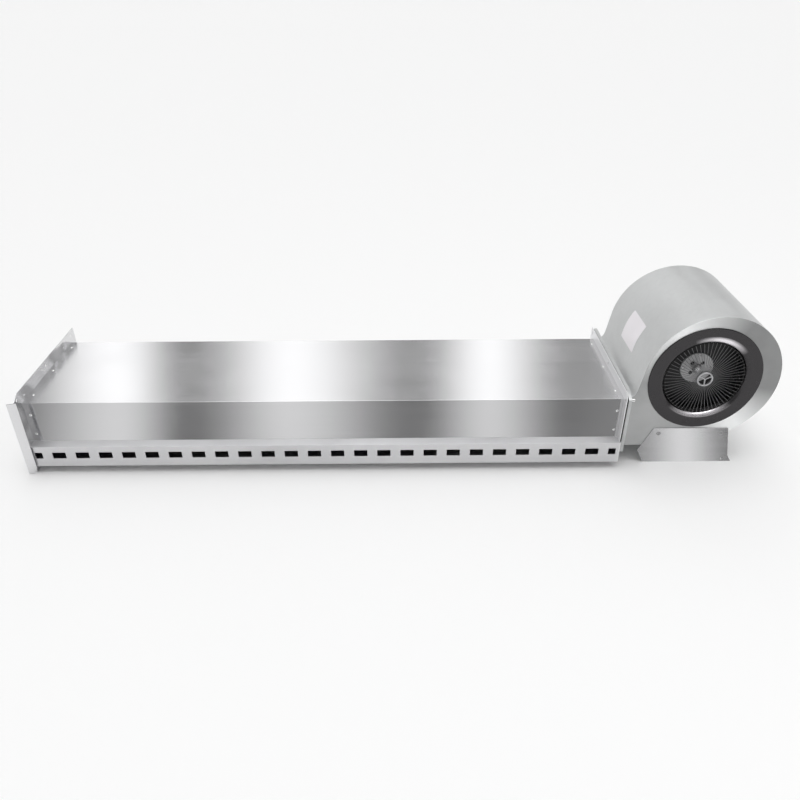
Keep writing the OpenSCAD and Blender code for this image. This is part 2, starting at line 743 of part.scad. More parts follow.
module motor_shell() color(motor_grey) place()
    tube_piece(motor_r, motor_r - motor_wall, shell_y, shell_end);

// An end cover is a disc with a boss that holds its bearing
module motor_cover(y0, boss_y, bearing_y) difference() {
    union() {
        tube_piece(motor_r, shaft_r + 2, y0, y0 + cover_t);
        tube_piece(bearing_r + 6, shaft_r + 2, boss_y, boss_y + bearing_w);
    }
    tube_piece(bearing_r + seat_play, 1, bearing_y, bearing_y + bearing_w);
}

module motor_front_cover() color(motor_grey) place()
    motor_cover(motor_y, motor_y + cover_t - 2, front_bearing_y);

module motor_rear_cover() color(motor_grey) place() difference() {
    motor_cover(shell_end, shell_end - bearing_w + 2, rear_bearing_y);
    motor_screw_bores(motor_end - cover_t + motor_screw_in - 0.5, motor_end + 1, motor_screw_r + seat_play);
}

module motor_screw_bores(y0, y1, r)
    for (i = [0 : 3]) on_axis() rotate(i * 90 + 45) translate([motor_screw_circle, 0, y0])
        cylinder(h = y1 - y0, r = r);

module stator_core() color(motor_grey) place()
    tube_piece(motor_r - motor_wall - seat_play, rotor_r + air_gap, stack_y, stack_y + stack_len);

module stator_windings() color(copper) place() {
    tube_piece(winding_r, rotor_r + 4, stack_y - winding_len, stack_y);
    tube_piece(winding_r, rotor_r + 4, stack_y + stack_len, stack_y + stack_len + winding_len);
}

module damper_bores(y0, y1, r)
    for (i = [0 : 3]) on_axis() rotate(i * 90) translate([damper_circle, 0, y0])
        cylinder(h = y1 - y0, r = r);

module motor_mount_plate() color(galvanised) place() difference() {
    tube_piece(mount_r, bearing_r, mount_y, damper_y);
    motor_screw_bores(mount_y - 1, damper_y + 1, motor_screw_r + seat_play);
    bar_y(mount_y - 1, damper_y + 1, lead_x, lead_z, lead_r + 1);
}

module motor_screws() color(bright_metal) place() {
    motor_screw_bores(shell_end + motor_screw_in, damper_y, motor_screw_r);
    motor_screw_bores(damper_y, damper_y + motor_head_h, motor_screw_r * 1.8);
}

module motor_dampers() color(dark_rubber) place() difference() {
    damper_bores(damper_y, case_inside, damper_r);
    damper_bores(case_inside - damper_bolt_in - 1, case_inside + 1, damper_bolt_r + seat_play);
}

module mount_bolts() color(bright_metal) place() {
    damper_bores(case_inside - damper_bolt_in, duct_depth, damper_bolt_r);
    for (i = [0 : 3]) on_axis() rotate(i * 90) translate([damper_circle, 0, duct_depth])
        cylinder(h = damper_head_h, r = damper_bolt_r * 2, $fn = 6);
}

lead_tail = 8;
module motor_lead() color(dark_rubber) place()
    bar_y(motor_end, duct_depth + lead_tail, lead_x, lead_z, lead_r);

// Two collars with a neck in the casing's hole, round the motor lead
module lead_grommet() color(motor_grey) place() difference() {
    union() {
        bar_y(case_inside - collar_t, duct_depth + collar_t, lead_x, lead_z, grommet_r - 1 - seat_play);
        bar_y(case_inside - collar_t, case_inside, lead_x, lead_z, grommet_r + 1);
        bar_y(duct_depth, duct_depth + collar_t, lead_x, lead_z, grommet_r + 1);
    }
    bar_y(case_inside - collar_t - 1, duct_depth + collar_t + 1, lead_x, lead_z, lead_r + seat_play);
}

lid_screw_x = [box_x + lid_inset, box_x + box_w - lid_inset];
lid_screw_z = [box_low + lid_inset, box_top - lid_inset];
gland_x = box_x + box_w * 0.4;
gland_y = duct_depth + box_d / 2;

module terminal_box() color(motor_grey) place() difference() {
    union() {
        difference() {
            block([box_x, duct_depth, box_low], [box_x + box_w, box_back, box_top]);
            block([box_x + box_wall, duct_depth + box_wall, box_low + box_wall],
                [box_x + box_w - box_wall, box_back + 1, box_top - box_wall]);
        }
        for (x = lid_screw_x, z = lid_screw_z) bar_y(duct_depth + 1, box_back, x, z, lid_inset - 0.5);
    }
    bar_y(duct_depth - 1, duct_depth + box_wall + 1, lead_x, lead_z, grommet_r + 1.5);
    for (x = lid_screw_x, z = lid_screw_z) bar_y(box_back - 10, box_back + 1, x, z, lid_screw_r + seat_play);
    bar_z(box_low - 1, box_low + box_wall + 1, gland_x, gland_y, gland_r);
}

module terminal_lid() color(motor_grey) place() difference() {
    block([box_x, box_back, box_low], [box_x + box_w, lid_back, box_top]);
    for (x = lid_screw_x, z = lid_screw_z) bar_y(box_back - 1, lid_back + 1, x, z, lid_screw_r + bolt_play);
}

module lid_screws() color(bright_metal) place() for (x = lid_screw_x, z = lid_screw_z) {
    bar_y(box_back - 9, lid_back, x, z, lid_screw_r);
    bar_y(lid_back, lid_back + lid_head_h, x, z, lid_screw_r * 2);
}

// A block of six clamps on the floor of the box
module terminal_block() color(charcoal) place() {
    clamp_count = 6;
    clamp_pitch = 8;
    clamp_r = 2.2;
    size = [clamp_count * clamp_pitch, 14, 16];
    corner = [box_x + box_wall + 3, duct_depth + box_wall, box_low + 2 * lid_inset + 4];
    translate(corner) difference() {
        cube(size);
        for (i = [0 : clamp_count - 1]) bar_y(6, size[1] + 1, (i + 0.5) * clamp_pitch, size[2] / 2, clamp_r);
    }
}

module run_capacitor() color(motor_grey) place() {
    cap_x = box_x + box_w - box_wall - cap_r;
    cap_top = box_top - 2 * lid_inset - 2;
    bar_z(cap_top - cap_len, cap_top, cap_x, duct_depth + box_wall + cap_r, cap_r);
}

// A threaded neck through the box with a hex body outside and a nut inside
module cable_gland() color(charcoal) place() difference() {
    union() {
        bar_z(box_low - gland_len, box_low + box_wall + gland_nut_h, gland_x, gland_y, gland_r - seat_play);
        translate([gland_x, gland_y, box_low - gland_body_h])
            cylinder(h = gland_body_h, r = gland_r + 4, $fn = 6);
        translate([gland_x, gland_y, box_low - gland_len]) cylinder(h = gland_cap_h, r = gland_r + 2.5);
        translate([gland_x, gland_y, box_low + box_wall]) cylinder(h = gland_nut_h, r = gland_r + 3, $fn = 6);
    }
    bar_z(box_low - gland_len - 1, box_low + box_wall + gland_nut_h + 1, gland_x, gland_y, gland_hole);
}

// The front bracket; the rear one is its mirror image
module foot_bracket() difference() {
    union() {
        across(-foot_t, 0) polygon([[foot_left, foot_top], [foot_right, foot_top],
            [foot_right + foot_lean, ground_z + foot_flare_h],
            [foot_low_right, ground_z], [foot_low_left, ground_z],
            [foot_left - foot_slope, ground_z + foot_chamfer_h]]);
        block([foot_low_left, -foot_t, ground_z], [foot_low_right, foot_out, ground_z + foot_t]);
    }
    bar_y(-foot_t - 1, 1, foot_low_right - face_hole_in, ground_z + face_hole_h, face_hole_r);
    for (x = foot_screw_x) bar_y(-foot_t - 1, 1, x, foot_screw_z, screw_r + bolt_play);
    for (x = foot_hole_x) bar_z(ground_z - 1, ground_z + foot_t + 1, x, foot_hole_y, foot_hole_r);
}

// The other face of the casing, seen in a mirror halfway through its depth
module mirrored() translate([0, duct_depth, 0]) mirror([0, 1, 0]) children();

module front_foot() color(stainless) place() foot_bracket();
module rear_foot() color(stainless) place() mirrored() foot_bracket();

module foot_screw_pair() for (x = foot_screw_x) {
    bar_y(-foot_t, foot_screw_len, x, foot_screw_z, screw_r);
    translate([x, -foot_t, foot_screw_z]) rotate([90, 0, 0]) domed_head(screw_head_r, foot_head_h, 1.3);
}

module foot_screws() color(bright_metal) place() {
    foot_screw_pair();
    mirrored() foot_screw_pair();
}

// A blank label follows the wrapper's curve and goes on down its slope
function label_side(r) = let (end = lean + 180) concat(
    arc(main_c, r, label_angle, end, 10),
    [main_c + r * [cos(end), sin(end)] + label_tail * [-sin(end), cos(end)]]);
module label_plate() color("white") place() across(label_y, label_y + label_d) polygon(concat(
    label_side(scroll_r + label_t),
    [for (i = [11 : -1 : 0]) label_side(scroll_r + label_gap)[i]]));

duct_cover();
duct_back_panel();
nozzle_strip();
flow_vane();
cover_braces();
left_end_plate();
right_end_plate();
cover_rivets();
seam_rivet_row();
flange_gasket();
outlet_flange();
flange_bolts();
flange_washers();
scroll_wrapper();
front_side_plate();
back_side_plate();
inlet_ring();
guard_rim();
guard_wires();
guard_hub();
wheel_front_ring();
wheel_back_ring();
wheel_blades();
wheel_disc();
wheel_hub();
hub_rivets();
hub_set_screw();
motor_shaft();
rotor_core();
front_bearing();
rear_bearing();
motor_shell();
motor_front_cover();
motor_rear_cover();
stator_core();
stator_windings();
motor_mount_plate();
motor_screws();
motor_dampers();
mount_bolts();
motor_lead();
lead_grommet();
terminal_box();
terminal_lid();
lid_screws();
terminal_block();
run_capacitor();
cable_gland();
front_foot();
rear_foot();
foot_screws();
label_plate();
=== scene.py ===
"""Dressed scene of a long sheet-metal air curtain with a centrifugal blower at its right end."""

import logging
import math
from dataclasses import dataclass
from enum import Enum
from typing import Any, Callable, ClassVar, Iterable, Sequence

import bmesh
import bpy
from mathutils import Matrix, Vector


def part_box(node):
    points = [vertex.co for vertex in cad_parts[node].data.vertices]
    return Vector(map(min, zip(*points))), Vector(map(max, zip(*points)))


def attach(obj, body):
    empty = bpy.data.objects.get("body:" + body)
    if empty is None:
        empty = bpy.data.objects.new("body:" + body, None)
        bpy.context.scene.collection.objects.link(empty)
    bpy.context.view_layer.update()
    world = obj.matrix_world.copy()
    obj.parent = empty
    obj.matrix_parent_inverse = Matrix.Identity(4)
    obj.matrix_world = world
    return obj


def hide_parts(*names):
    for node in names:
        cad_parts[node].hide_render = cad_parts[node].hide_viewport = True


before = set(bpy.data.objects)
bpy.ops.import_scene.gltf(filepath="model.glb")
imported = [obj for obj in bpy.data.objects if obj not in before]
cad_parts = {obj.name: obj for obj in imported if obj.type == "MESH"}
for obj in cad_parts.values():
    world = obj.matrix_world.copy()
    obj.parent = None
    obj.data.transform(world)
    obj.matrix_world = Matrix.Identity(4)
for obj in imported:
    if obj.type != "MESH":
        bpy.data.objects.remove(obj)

LOG = logging.getLogger("air_curtain")
MM = 0.001
FLAT_ANGLE = math.radians(34)
FLUSH_ANGLE = math.radians(0.4)
MERGE_GAP = 0.02
SEAM_GAP = 0.01
FOLD_SEGMENTS = 4

Colour = tuple[float, float, float]
Point = tuple[float, float, float]
Pair = tuple[float, float]
Piece = bpy.types.Object
Socket = bpy.types.NodeSocket
Test = Callable[[Any], bool]


class Body(Enum):
    """The rigid bodies that pieces ride on."""

    HOUSING = "housing"
    WHEEL = "fan_wheel"


class Axis(Enum):
    """An axis of the frame, by its index."""

    X = 0
    Y = 1
    Z = 2

    def way(self) -> Vector:
        """Returns the vector of length 1 along this axis."""
        return Vector([float(index == self.value) for index in range(3)])


class Grain(Enum):
    """The way that the brush lines of a sheet run."""

    LENGTHWISE = "X"
    CROSSWISE = "Y"
    UPRIGHT = "Z"


@dataclass
class UnitSizes:
    """Sizes that several sub-assemblies share, in millimetres. Places count from the duct's datum."""

    half: float = 750.0
    depth: float = 330.0
    front_h: float = 114.0
    strip_h: float = 60.0
    ledge_out: float = 29.0
    sheet: float = 1.2
    outlet_h: float = 141.0
    flange_x: float = 755.0
    fan_x: float = 940.0
    fan_z: float = 55.0


FAN_AXIS = (UnitSizes.fan_x, 0.0, UnitSizes.fan_z)


def duct_datum() -> Vector:
    """Finds the middle of the duct's top front edge.

    Returns:
        The point from which duct measures count, in the frame's metres.
    """
    low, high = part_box("duct_cover")
    return Vector(((low.x + high.x) / 2, low.y, high.z))


DATUM = duct_datum()


def at(x: float, y: float, z: float) -> Vector:
    """Turns duct measures into a place in the frame.

    Args:
        x: Millimetres to the right of the duct's middle.
        y: Millimetres behind the duct's front face.
        z: Millimetres above the duct's top.

    Returns:
        The place in metres.
    """
    return DATUM + Vector((x, y, z)) * MM


def measure(place: Vector) -> Vector:
    """Returns a place in the frame as duct measures in millimetres."""
    return (place - DATUM) / MM


def spun(share: float) -> Matrix:
    """Returns a share of a full turn about the fan axis."""
    hub = at(*FAN_AXIS)
    return Matrix.Translation(hub) @ Matrix.Rotation(math.tau * share, 4, "Y") @ Matrix.Translation(-hub)


def turn(radius: float, degrees: float, centre: Pair) -> Pair:
    """Returns the point at an angle on a circle in the plane of X and Z."""
    a = math.radians(degrees)
    return centre[0] + radius * math.cos(a), centre[1] + radius * math.sin(a)


def arc(centre: Pair, radius: float, start: float, end: float, steps: int) -> list[Pair]:
    """Returns the points of an arc, its two ends among them."""
    return [turn(radius, start + (end - start) * i / steps, centre) for i in range(steps + 1)]


# The bench: selecting, adding and shaping in edit mode


def clear_bench() -> None:
    """Leaves edit mode and deselects every object."""
    if bpy.context.mode != "OBJECT":
        bpy.ops.object.mode_set(mode="OBJECT")
    bpy.ops.object.select_all(action="DESELECT")


def take(piece: Piece) -> None:
    """Makes a piece the only selected and the active one.

    Args:
        piece: The object.
    """
    clear_bench()
    piece.select_set(True)
    bpy.context.view_layer.objects.active = piece


def open_mesh(piece: Piece, kind: str = "FACE") -> None:
    """Enters edit mode on a piece with all of it selected.

    Args:
        piece: The object.
        kind: VERT, EDGE or FACE, which selecting works on.
    """
    take(piece)
    bpy.ops.object.mode_set(mode="EDIT")
    bpy.ops.mesh.select_mode(type=kind)
    bpy.ops.mesh.select_all(action="SELECT")


def pick(piece: Piece, kind: str, test: Test) -> int:
    """Selects, in edit mode, the elements that pass a test.

    Args:
        piece: The object in edit mode.
        kind: VERT, EDGE or FACE.
        test: Takes a vertex, edge or face and says whether it is wanted.

    Returns:
        How many were selected.
    """
    bpy.ops.mesh.select_mode(type=kind)
    bpy.ops.mesh.select_all(action="DESELECT")
    mesh = bmesh.from_edit_mesh(piece.data)
    items = {"VERT": mesh.verts, "EDGE": mesh.edges, "FACE": mesh.faces}[kind]
    count = 0
    for item in items:
        if test(item):
            item.select_set(True)
            count += 1
    mesh.select_flush_mode()
    bmesh.update_edit_mesh(piece.data)
    return count


def lying(slack: float = 0.05, **measures: float) -> Test:
    """Returns a test for vertices or edges that lie at duct measures, such as y=0, in millimetres.

    Args:
        slack: How far off a vertex may lie.
        measures: The wanted x, y or z, or several of them.

    Returns:
        The test, for pick and the bench.
    """

    def test(item: Any) -> bool:
        """Says whether all vertices of a piece of mesh lie there."""
        places = [measure(v.co) for v in getattr(item, "verts", None) or [item]]
        return all(abs(getattr(place, axis) - value) < slack
                   for place in places for axis, value in measures.items())

    return test


def settle(piece: Piece) -> Piece:
    """Puts a piece's place, turn and scale into its mesh.

    Args:
        piece: The object.

    Returns:
        The same piece.
    """
    take(piece)
    bpy.ops.object.transform_apply(location=True, rotation=True, scale=True)
    return piece


def apply_modifier(piece: Piece, kind: str, **values: Any) -> None:
    """Adds a modifier with its values set, and applies it.

    Args:
        piece: The object.
        kind: The modifier's type name.
        values: Its settings by name.
    """
    take(piece)
    modifier = piece.modifiers.new(kind.title(), kind)
    for key, value in values.items():
        setattr(modifier, key, value)
    bpy.ops.object.modifier_apply(modifier=modifier.name)


def soften(piece: Piece, width: float, segments: int = 2, degrees: float = 38.0) -> Piece:
    """Rounds every edge sharper than an angle, by a width in millimetres.

    Args:
        piece: The object.
        width: The bevel's width.
        segments: How many steps round it has.
        degrees: The angle above which an edge is rounded.

    Returns:
        The same piece.
    """
    apply_modifier(piece, "BEVEL", width=width * MM, segments=segments, limit_method="ANGLE",
                   angle_limit=math.radians(degrees), harden_normals=False)
    return piece


def mend_shell(piece: Piece) -> None:
    """Merges doubled vertices and turns all faces outwards.

    Args:
        piece: The object.
    """
    open_mesh(piece)
    bpy.ops.mesh.remove_doubles(threshold=MERGE_GAP * MM)
    bpy.ops.mesh.normals_make_consistent(inside=False)
    clear_bench()


def slice_off(piece: Piece, place: Vector, outward: Point) -> None:
    """Cuts a piece off at a plane, drops what lies beyond it and closes the cut.

    Args:
        piece: The object.
        place: A point of the plane, in the frame's metres.
        outward: The way to the side that goes.
    """
    open_mesh(piece)
    bpy.ops.mesh.bisect(plane_co=place, plane_no=outward, use_fill=True, clear_outer=True)
    clear_bench()


def new_block(name: str, low: Point, high: Point) -> Piece:
    """Adds a block between two corners given in duct measures.

    Args:
        name: The piece's name.
        low: The corner with the smallest measures.
        high: The corner with the largest.

    Returns:
        The block.
    """
    clear_bench()
    a, b = at(*low), at(*high)
    bpy.ops.mesh.primitive_cube_add(size=1, location=(a + b) / 2)
    piece = bpy.context.object
    piece.name = name
    piece.scale = b - a
    return settle(piece)


def new_bar(name: str, start: Point, axis: Axis, length: float, radius: float, sides: int) -> Piece:
    """Adds a round bar that starts at a point and runs along an axis.

    Args:
        name: The piece's name.
        start: The middle of its first end, in duct measures.
        axis: The axis that it runs along.
        length: Its length in millimetres.
        radius: Its radius in millimetres.
        sides: How many facets it has round.

    Returns:
        The bar.
    """
    clear_bench()
    turns = {Axis.X: (0, math.pi / 2, 0), Axis.Y: (-math.pi / 2, 0, 0), Axis.Z: (0, 0, 0)}
    middle = list(start)
    middle[axis.value] += length / 2
    bpy.ops.mesh.primitive_cylinder_add(vertices=sides, radius=radius * MM, depth=length * MM,
                                        location=at(*middle), rotation=turns[axis])
    piece = bpy.context.object
    piece.name = name
    return settle(piece)


def join(name: str, pieces: Iterable[Piece]) -> Piece:
    """Joins pieces into one object.

    Args:
        name: The joined object's name.
        pieces: The objects, at least one.

    Returns:
        The joined object.
    """
    pieces = list(pieces)
    clear_bench()
    for piece in pieces:
        piece.select_set(True)
    bpy.context.view_layer.objects.active = pieces[0]
    if len(pieces) > 1:
        bpy.ops.object.join()
    pieces[0].name = name
    return pieces[0]


def copies(name: str, master: Piece, places: Iterable[Matrix]) -> Piece:
    """Sets copies of a master piece, each with its own mesh, at places and joins them.

    Args:
        name: The joined object's name.
        master: The piece to copy, which is then removed.
        places: A matrix for each copy.

    Returns:
        The joined copies.
    """
    made = []
    for place in places:
        twin = master.copy()
        twin.data = master.data.copy()
        bpy.context.collection.objects.link(twin)
        twin.matrix_world = place
        made.append(twin)
    bpy.data.objects.remove(master)
    bpy.context.view_layer.update()
    return settle(join(name, made))


def cut(piece: Piece, cutter: Piece) -> Piece:
    """Cuts one piece with another, which is then removed.

    Args:
        piece: What is cut.
        cutter: What is taken away from it.

    Returns:
        The cut piece.
    """
    apply_modifier(piece, "BOOLEAN", operation="DIFFERENCE", solver="EXACT", object=cutter)
    bpy.data.objects.remove(cutter)
    return piece


def drill(piece: Piece, places: Sequence[Point], axis: Axis, radius: float, depth: float) -> Piece:
    """Drills round holes that start at places and run along an axis."""
    bars = [new_bar("drill", place, axis, depth, radius, 28) for place in places]
    return cut(piece, join("drills", bars))


class SheetBench:
    """A sheet in edit mode that grows from one edge by straight pushes and rolls."""

    def __init__(self, name: str, start: Point, end: Point) -> None:
        """Starts the sheet as one edge between two points in duct measures.

        Args:
            name: The piece's name.
            start: The edge's first point.
            end: The edge's second point.
        """
        clear_bench()
        bpy.ops.mesh.primitive_plane_add(size=1)
        self.piece = bpy.context.object
        self.piece.name = name
        a, b = at(*start), at(*end)
        along = b - a
        side = along.orthogonal()
        place = Matrix((along, side, along.cross(side))).transposed().to_4x4()
        place.translation = (a + b) / 2 + side / 2
        self.piece.matrix_world = place
        settle(self.piece)
        open_mesh(self.piece, "VERT")
        pick(self.piece, "VERT", lambda v: min((v.co - a).length, (v.co - b).length) > MM * 0.01)
        bpy.ops.mesh.delete(type="VERT")
        bpy.ops.mesh.select_mode(type="EDGE")
        bpy.ops.mesh.select_all(action="SELECT")

    def push(self, x: float = 0, y: float = 0, z: float = 0) -> "SheetBench":
        """Extrudes the selected edges by a move in millimetres."""
        bpy.ops.mesh.extrude_region_move(TRANSFORM_OT_translate={"value": (x * MM, y * MM, z * MM)})
        return self

    def roll(self, centre: Pair, degrees: float, steps: int) -> "SheetBench":
        """Spins the selected edges about the Y axis through a centre, given across and up.

        Args:
            centre: The axis, as x and z in duct measures.
            degrees: How far it rolls.
            steps: How many flats the roll has.

        Returns:
            The bench, for the next step.
        """
        bpy.ops.mesh.spin(steps=steps, angle=math.radians(degrees), center=at(centre[0], 0, centre[1]),
                          axis=Axis.Y.way())
        return self

    def reach(self, test: Test) -> "SheetBench":
        """Selects the edges that pass a test, to go on from there.

        Args:
            test: Says whether an edge is wanted.

        Returns:
            The bench, for the next step.
        """
        if not pick(self.piece, "EDGE", test):
            raise ValueError(f"{self.piece.name}: no edge there")
        return self

    def fold(self, test: Test, radius: float) -> "SheetBench":
        """Rounds the folds that pass a test to a bend radius.

        Args:
            test: Says whether an edge is a fold.
            radius: The bend's size in millimetres.

        Returns:
            The bench, for the next step.
        """
        self.reach(test)
        bpy.ops.mesh.bevel(offset=radius * MM, segments=FOLD_SEGMENTS, affect="EDGES")
        return self

    def clip_corner(self, test: Test, size: float, segments: int) -> "SheetBench":
        """Rounds the corners whose vertices pass a test.

        Args:
            test: Says whether a vertex is a corner.
            size: The rounding in millimetres.
            segments: How many steps it has.

        Returns:
            The bench, for the next step.
        """
        pick(self.piece, "VERT", test)
        bpy.ops.mesh.bevel(offset=size * MM, segments=segments, affect="VERTICES")
        return self

    def taper(self, low: float, high: float, **place: float) -> "SheetBench":
        """Moves the two ends of the edge at a place to new heights, and goes on from that edge.

        Args:
            low: The lower end's new height.
            high: The upper end's new height.
            place: Where the edge lies, as in lying.

        Returns:
            The bench, for the next step.
        """
        pick(self.piece, "VERT", lying(**place))
        mesh = bmesh.from_edit_mesh(self.piece.data)
        ends = sorted((v for v in mesh.verts if v.select), key=lambda v: v.co.z)
        for vert, level in zip((ends[0], ends[-1]), (low, high)):
            vert.co.z = at(0, 0, level).z
        bmesh.update_edit_mesh(self.piece.data)
        return self.reach(lying(**place))

    def sheet(self, thickness: float, outward: Vector, edge: float = 0.25) -> Piece:
        """Leaves edit mode and gives the sheet its thickness, inwards from the modelled face.

        Args:
            thickness: The sheet's thickness in millimetres.
            outward: A direction that the first face looks along.
            edge: The rounding of the cut edges in millimetres, or 0.

        Returns:
            The finished sheet.
        """
        piece = self.piece
        mend_shell(piece)
        faces = sorted(piece.data.polygons, key=lambda f: -abs(f.normal.dot(outward)) * f.area)
        if faces[0].normal.dot(outward) < 0:
            open_mesh(piece)
            bpy.ops.mesh.flip_normals()
            clear_bench()
        apply_modifier(piece, "SOLIDIFY", thickness=thickness * MM, offset=-1, use_even_offset=True)
        return soften(piece, edge, 1, 60) if edge else piece


def profile_chain(name: str, points: Sequence[Vector]) -> Piece:
    """Draws a chain of edges, one extruded vertex after another, and leaves it selected in edit mode.

    Args:
        name: The piece's name.
        points: The chain's points, in the frame's metres.

    Returns:
        The chain.
    """
    clear_bench()
    bpy.ops.mesh.primitive_plane_add(size=1, location=points[0])
    piece = bpy.context.object
    piece.name = name
    settle(piece)
    open_mesh(piece, "VERT")
    bpy.ops.mesh.merge(type="CENTER")
    for before, after in zip(points, points[1:]):
        bpy.ops.mesh.extrude_region_move(TRANSFORM_OT_translate={"value": after - before})
    bpy.ops.mesh.select_all(action="SELECT")
    return piece


def lathe(name: str, profile: Sequence[Pair], centre: Point, axis: Axis = Axis.Y, steps: int = 96) -> Piece:
    """Turns a profile round an axis.

    Args:
        name: The piece's name.
        profile: Radius and distance along the axis, in millimetres, end to end.
        centre: The point that the distances count from, in duct measures.
        axis: The axis that the profile turns about.
        steps: How many facets the turn has.

    Returns:
        The turned piece with its faces outwards.
    """
    hub, way, side = at(*centre), axis.way(), Axis((axis.value + 1) % 3).way()
    points = [hub + (side * r + way * d) * MM for r, d in profile]
    piece = profile_chain(name, points)
    bpy.ops.mesh.spin(steps=steps, angle=math.tau, center=hub, axis=way)
    mend_shell(piece)
    return piece


# Effects that several finishes share, each a node group that is built once


class Tree:
    """A node tree with short ways to add and link nodes."""

    def __init__(self, tree: bpy.types.NodeTree) -> None:
        """Keeps the tree that nodes go into."""
        self.tree = tree

    def feed(self, socket: Socket, value: Any) -> None:
        """Sets an input, or links it where the value is another node's output.

        Args:
            socket: The input.
            value: A number, a colour, a vector or an output.
        """
        if isinstance(value, bpy.types.NodeSocket):
            self.tree.links.new(value, socket)
        else:
            socket.default_value = value

    def add(self, kind: str, inputs: dict[Any, Any] | None = None, **values: Any) -> bpy.types.Node:
        """Adds a node.

        Args:
            kind: The node's type name.
            inputs: A value or an output for each input that is set, by its name or number.
            values: The node's properties by name.

        Returns:
            The new node.
        """
        node = self.tree.nodes.new(kind)
        for key, value in values.items():
            setattr(node, key, value)
        for key, value in (inputs or {}).items():
            self.feed(node.inputs[key], value)
        return node

    def math(self, operation: str, *values: Any) -> Socket:
        """Adds a calculation with numbers."""
        return self.add("ShaderNodeMath", dict(enumerate(values)), operation=operation).outputs[0]

    def vector(self, operation: str, *values: Any, result: str = "Vector") -> Socket:
        """Adds a calculation with vectors."""
        return self.add("ShaderNodeVectorMath", dict(enumerate(values)), operation=operation).outputs[result]

    def sum(self, first: Any, second: Any) -> Socket:
        """Adds two values."""
        return self.math("ADD", first, second)

    def times(self, first: Any, second: Any) -> Socket:
        """Multiplies two values."""
        return self.math("MULTIPLY", first, second)

    def rest(self, value: Any) -> Socket:
        """Takes a value from 1."""
        return self.math("SUBTRACT", 1.0, value)

    def tint(self, colour: Any, factor: Any) -> Socket:
        """Multiplies a colour by a factor."""
        scaled = self.add("ShaderNodeVectorMath", {0: colour, "Scale": factor}, operation="SCALE")
        return scaled.outputs["Vector"]

    def spread(self, value: Any, low: Any, high: Any, source: Pair = (0.3, 0.7)) -> Socket:
        """Maps a value from a source range to a new one.

        Args:
            value: What is mapped.
            low: The result at the source's start.
            high: The result at its end.
            source: The source range.

        Returns:
            The mapped value.
        """
        node = self.add("ShaderNodeMapRange", {
            "Value": value, "From Min": source[0], "From Max": source[1], "To Min": low, "To Max": high})
        return node.outputs["Result"]

    def place(self) -> Socket:
        """Adds the place on the surface, in Object coordinates."""
        return self.add("ShaderNodeTexCoord").outputs["Object"]

    def noise(self, scales: Point | float, detail: float, rough: float = 0.55, pitch: Any = 1.0) -> Socket:
        """Adds noise on Object coordinates, with one scale or one for each axis.

        Args:
            scales: One scale or three, where larger is finer.
            detail: How many octaves it has.
            rough: How strong the fine octaves are.
            pitch: A further scale, as a value or an output.

        Returns:
            The noise, about 0.5 on average.
        """
        stretch = scales if isinstance(scales, tuple) else (scales, scales, scales)
        mapping = self.add("ShaderNodeMapping", {"Vector": self.place(), "Scale": stretch})
        texture = self.add("ShaderNodeTexNoise", {
            "Vector": mapping.outputs["Vector"], "Scale": pitch, "Detail": detail, "Roughness": rough})
        return texture.outputs["Fac"]

    def normal(self) -> Socket:
        """Adds the surface's own normal."""
        return self.add("ShaderNodeNewGeometry").outputs["Normal"]

    def uprightness(self) -> Socket:
        """Adds how upright the surface is, from 0 for a level face to 1 for a wall."""
        level = self.add("ShaderNodeSeparateXYZ", {0: self.normal()}).outputs["Z"]
        return self.rest(self.math("ABSOLUTE", level))

    def leaning_normal(self, given: Any) -> Socket:
        """Adds the sheen of sheet whose upright faces catch the sky, with the waves of rolled sheet.

        Args:
            given: The group's inputs. Lean is how far upright faces lean back and Wave how strong
                the waves are, both as slopes, and below zero the faces lean forward. Ripple is how
                much closer than usual the waves follow.

        Returns:
            The shading normal.
        """
        across, along = (
            self.times(self.sum(self.noise(scales, 1.0, pitch=given["Ripple"]), -0.5), given["Wave"])
            for scales in ((3.1, 2.3, 3.7), (4.3, 3.3, 2.9)))
        rise = self.sum(self.times(self.uprightness(), given["Lean"]), along)
        push = self.add("ShaderNodeCombineXYZ", {"X": across, "Z": rise}).outputs["Vector"]
        return self.vector("NORMALIZE", self.vector("ADD", self.normal(), push))

    def from_fan_axis(self) -> Socket:
        """Adds the way from the fan axis to a point of the surface."""
        return self.vector("MULTIPLY", self.vector("SUBTRACT", self.place(), at(*FAN_AXIS)), (1, 0, 1))

    def facing(self, degrees: float, full: float, gone: float) -> Socket:
        """Adds a mask that fades as the way from the fan axis turns away from an angle.

        Args:
            degrees: The angle, counted from the right.
            full: How many degrees away the mask is still full.
            gone: How many degrees away it has faded out.

        Returns:
            The mask, from 0 to 1.
        """
        x, z = turn(1.0, degrees, (0, 0))
        spoke = self.vector("NORMALIZE", self.from_fan_axis())
        away = self.math("ARCCOSINE", self.vector("DOT_PRODUCT", spoke, (x, 0, z), result="Value"))
        return self.spread(away, 1.0, 0.0, (math.radians(full), math.radians(gone)))


EFFECT_INPUTS = {"Colour": (0.7, 0.7, 0.7, 1.0), "Roughness": 0.5, "Effect": 0.1, "Lean": 0.0, "Wave": 0.0,
                 "Ripple": 1.0}
EFFECT_OUTPUTS = {"Colour": "NodeSocketColor", "Roughness": "NodeSocketFloat", "Height": "NodeSocketFloat",
                  "Normal": "NodeSocketVector"}
BUMP_DEPTH = 0.0004
COAT_ROUGHNESS = 0.12


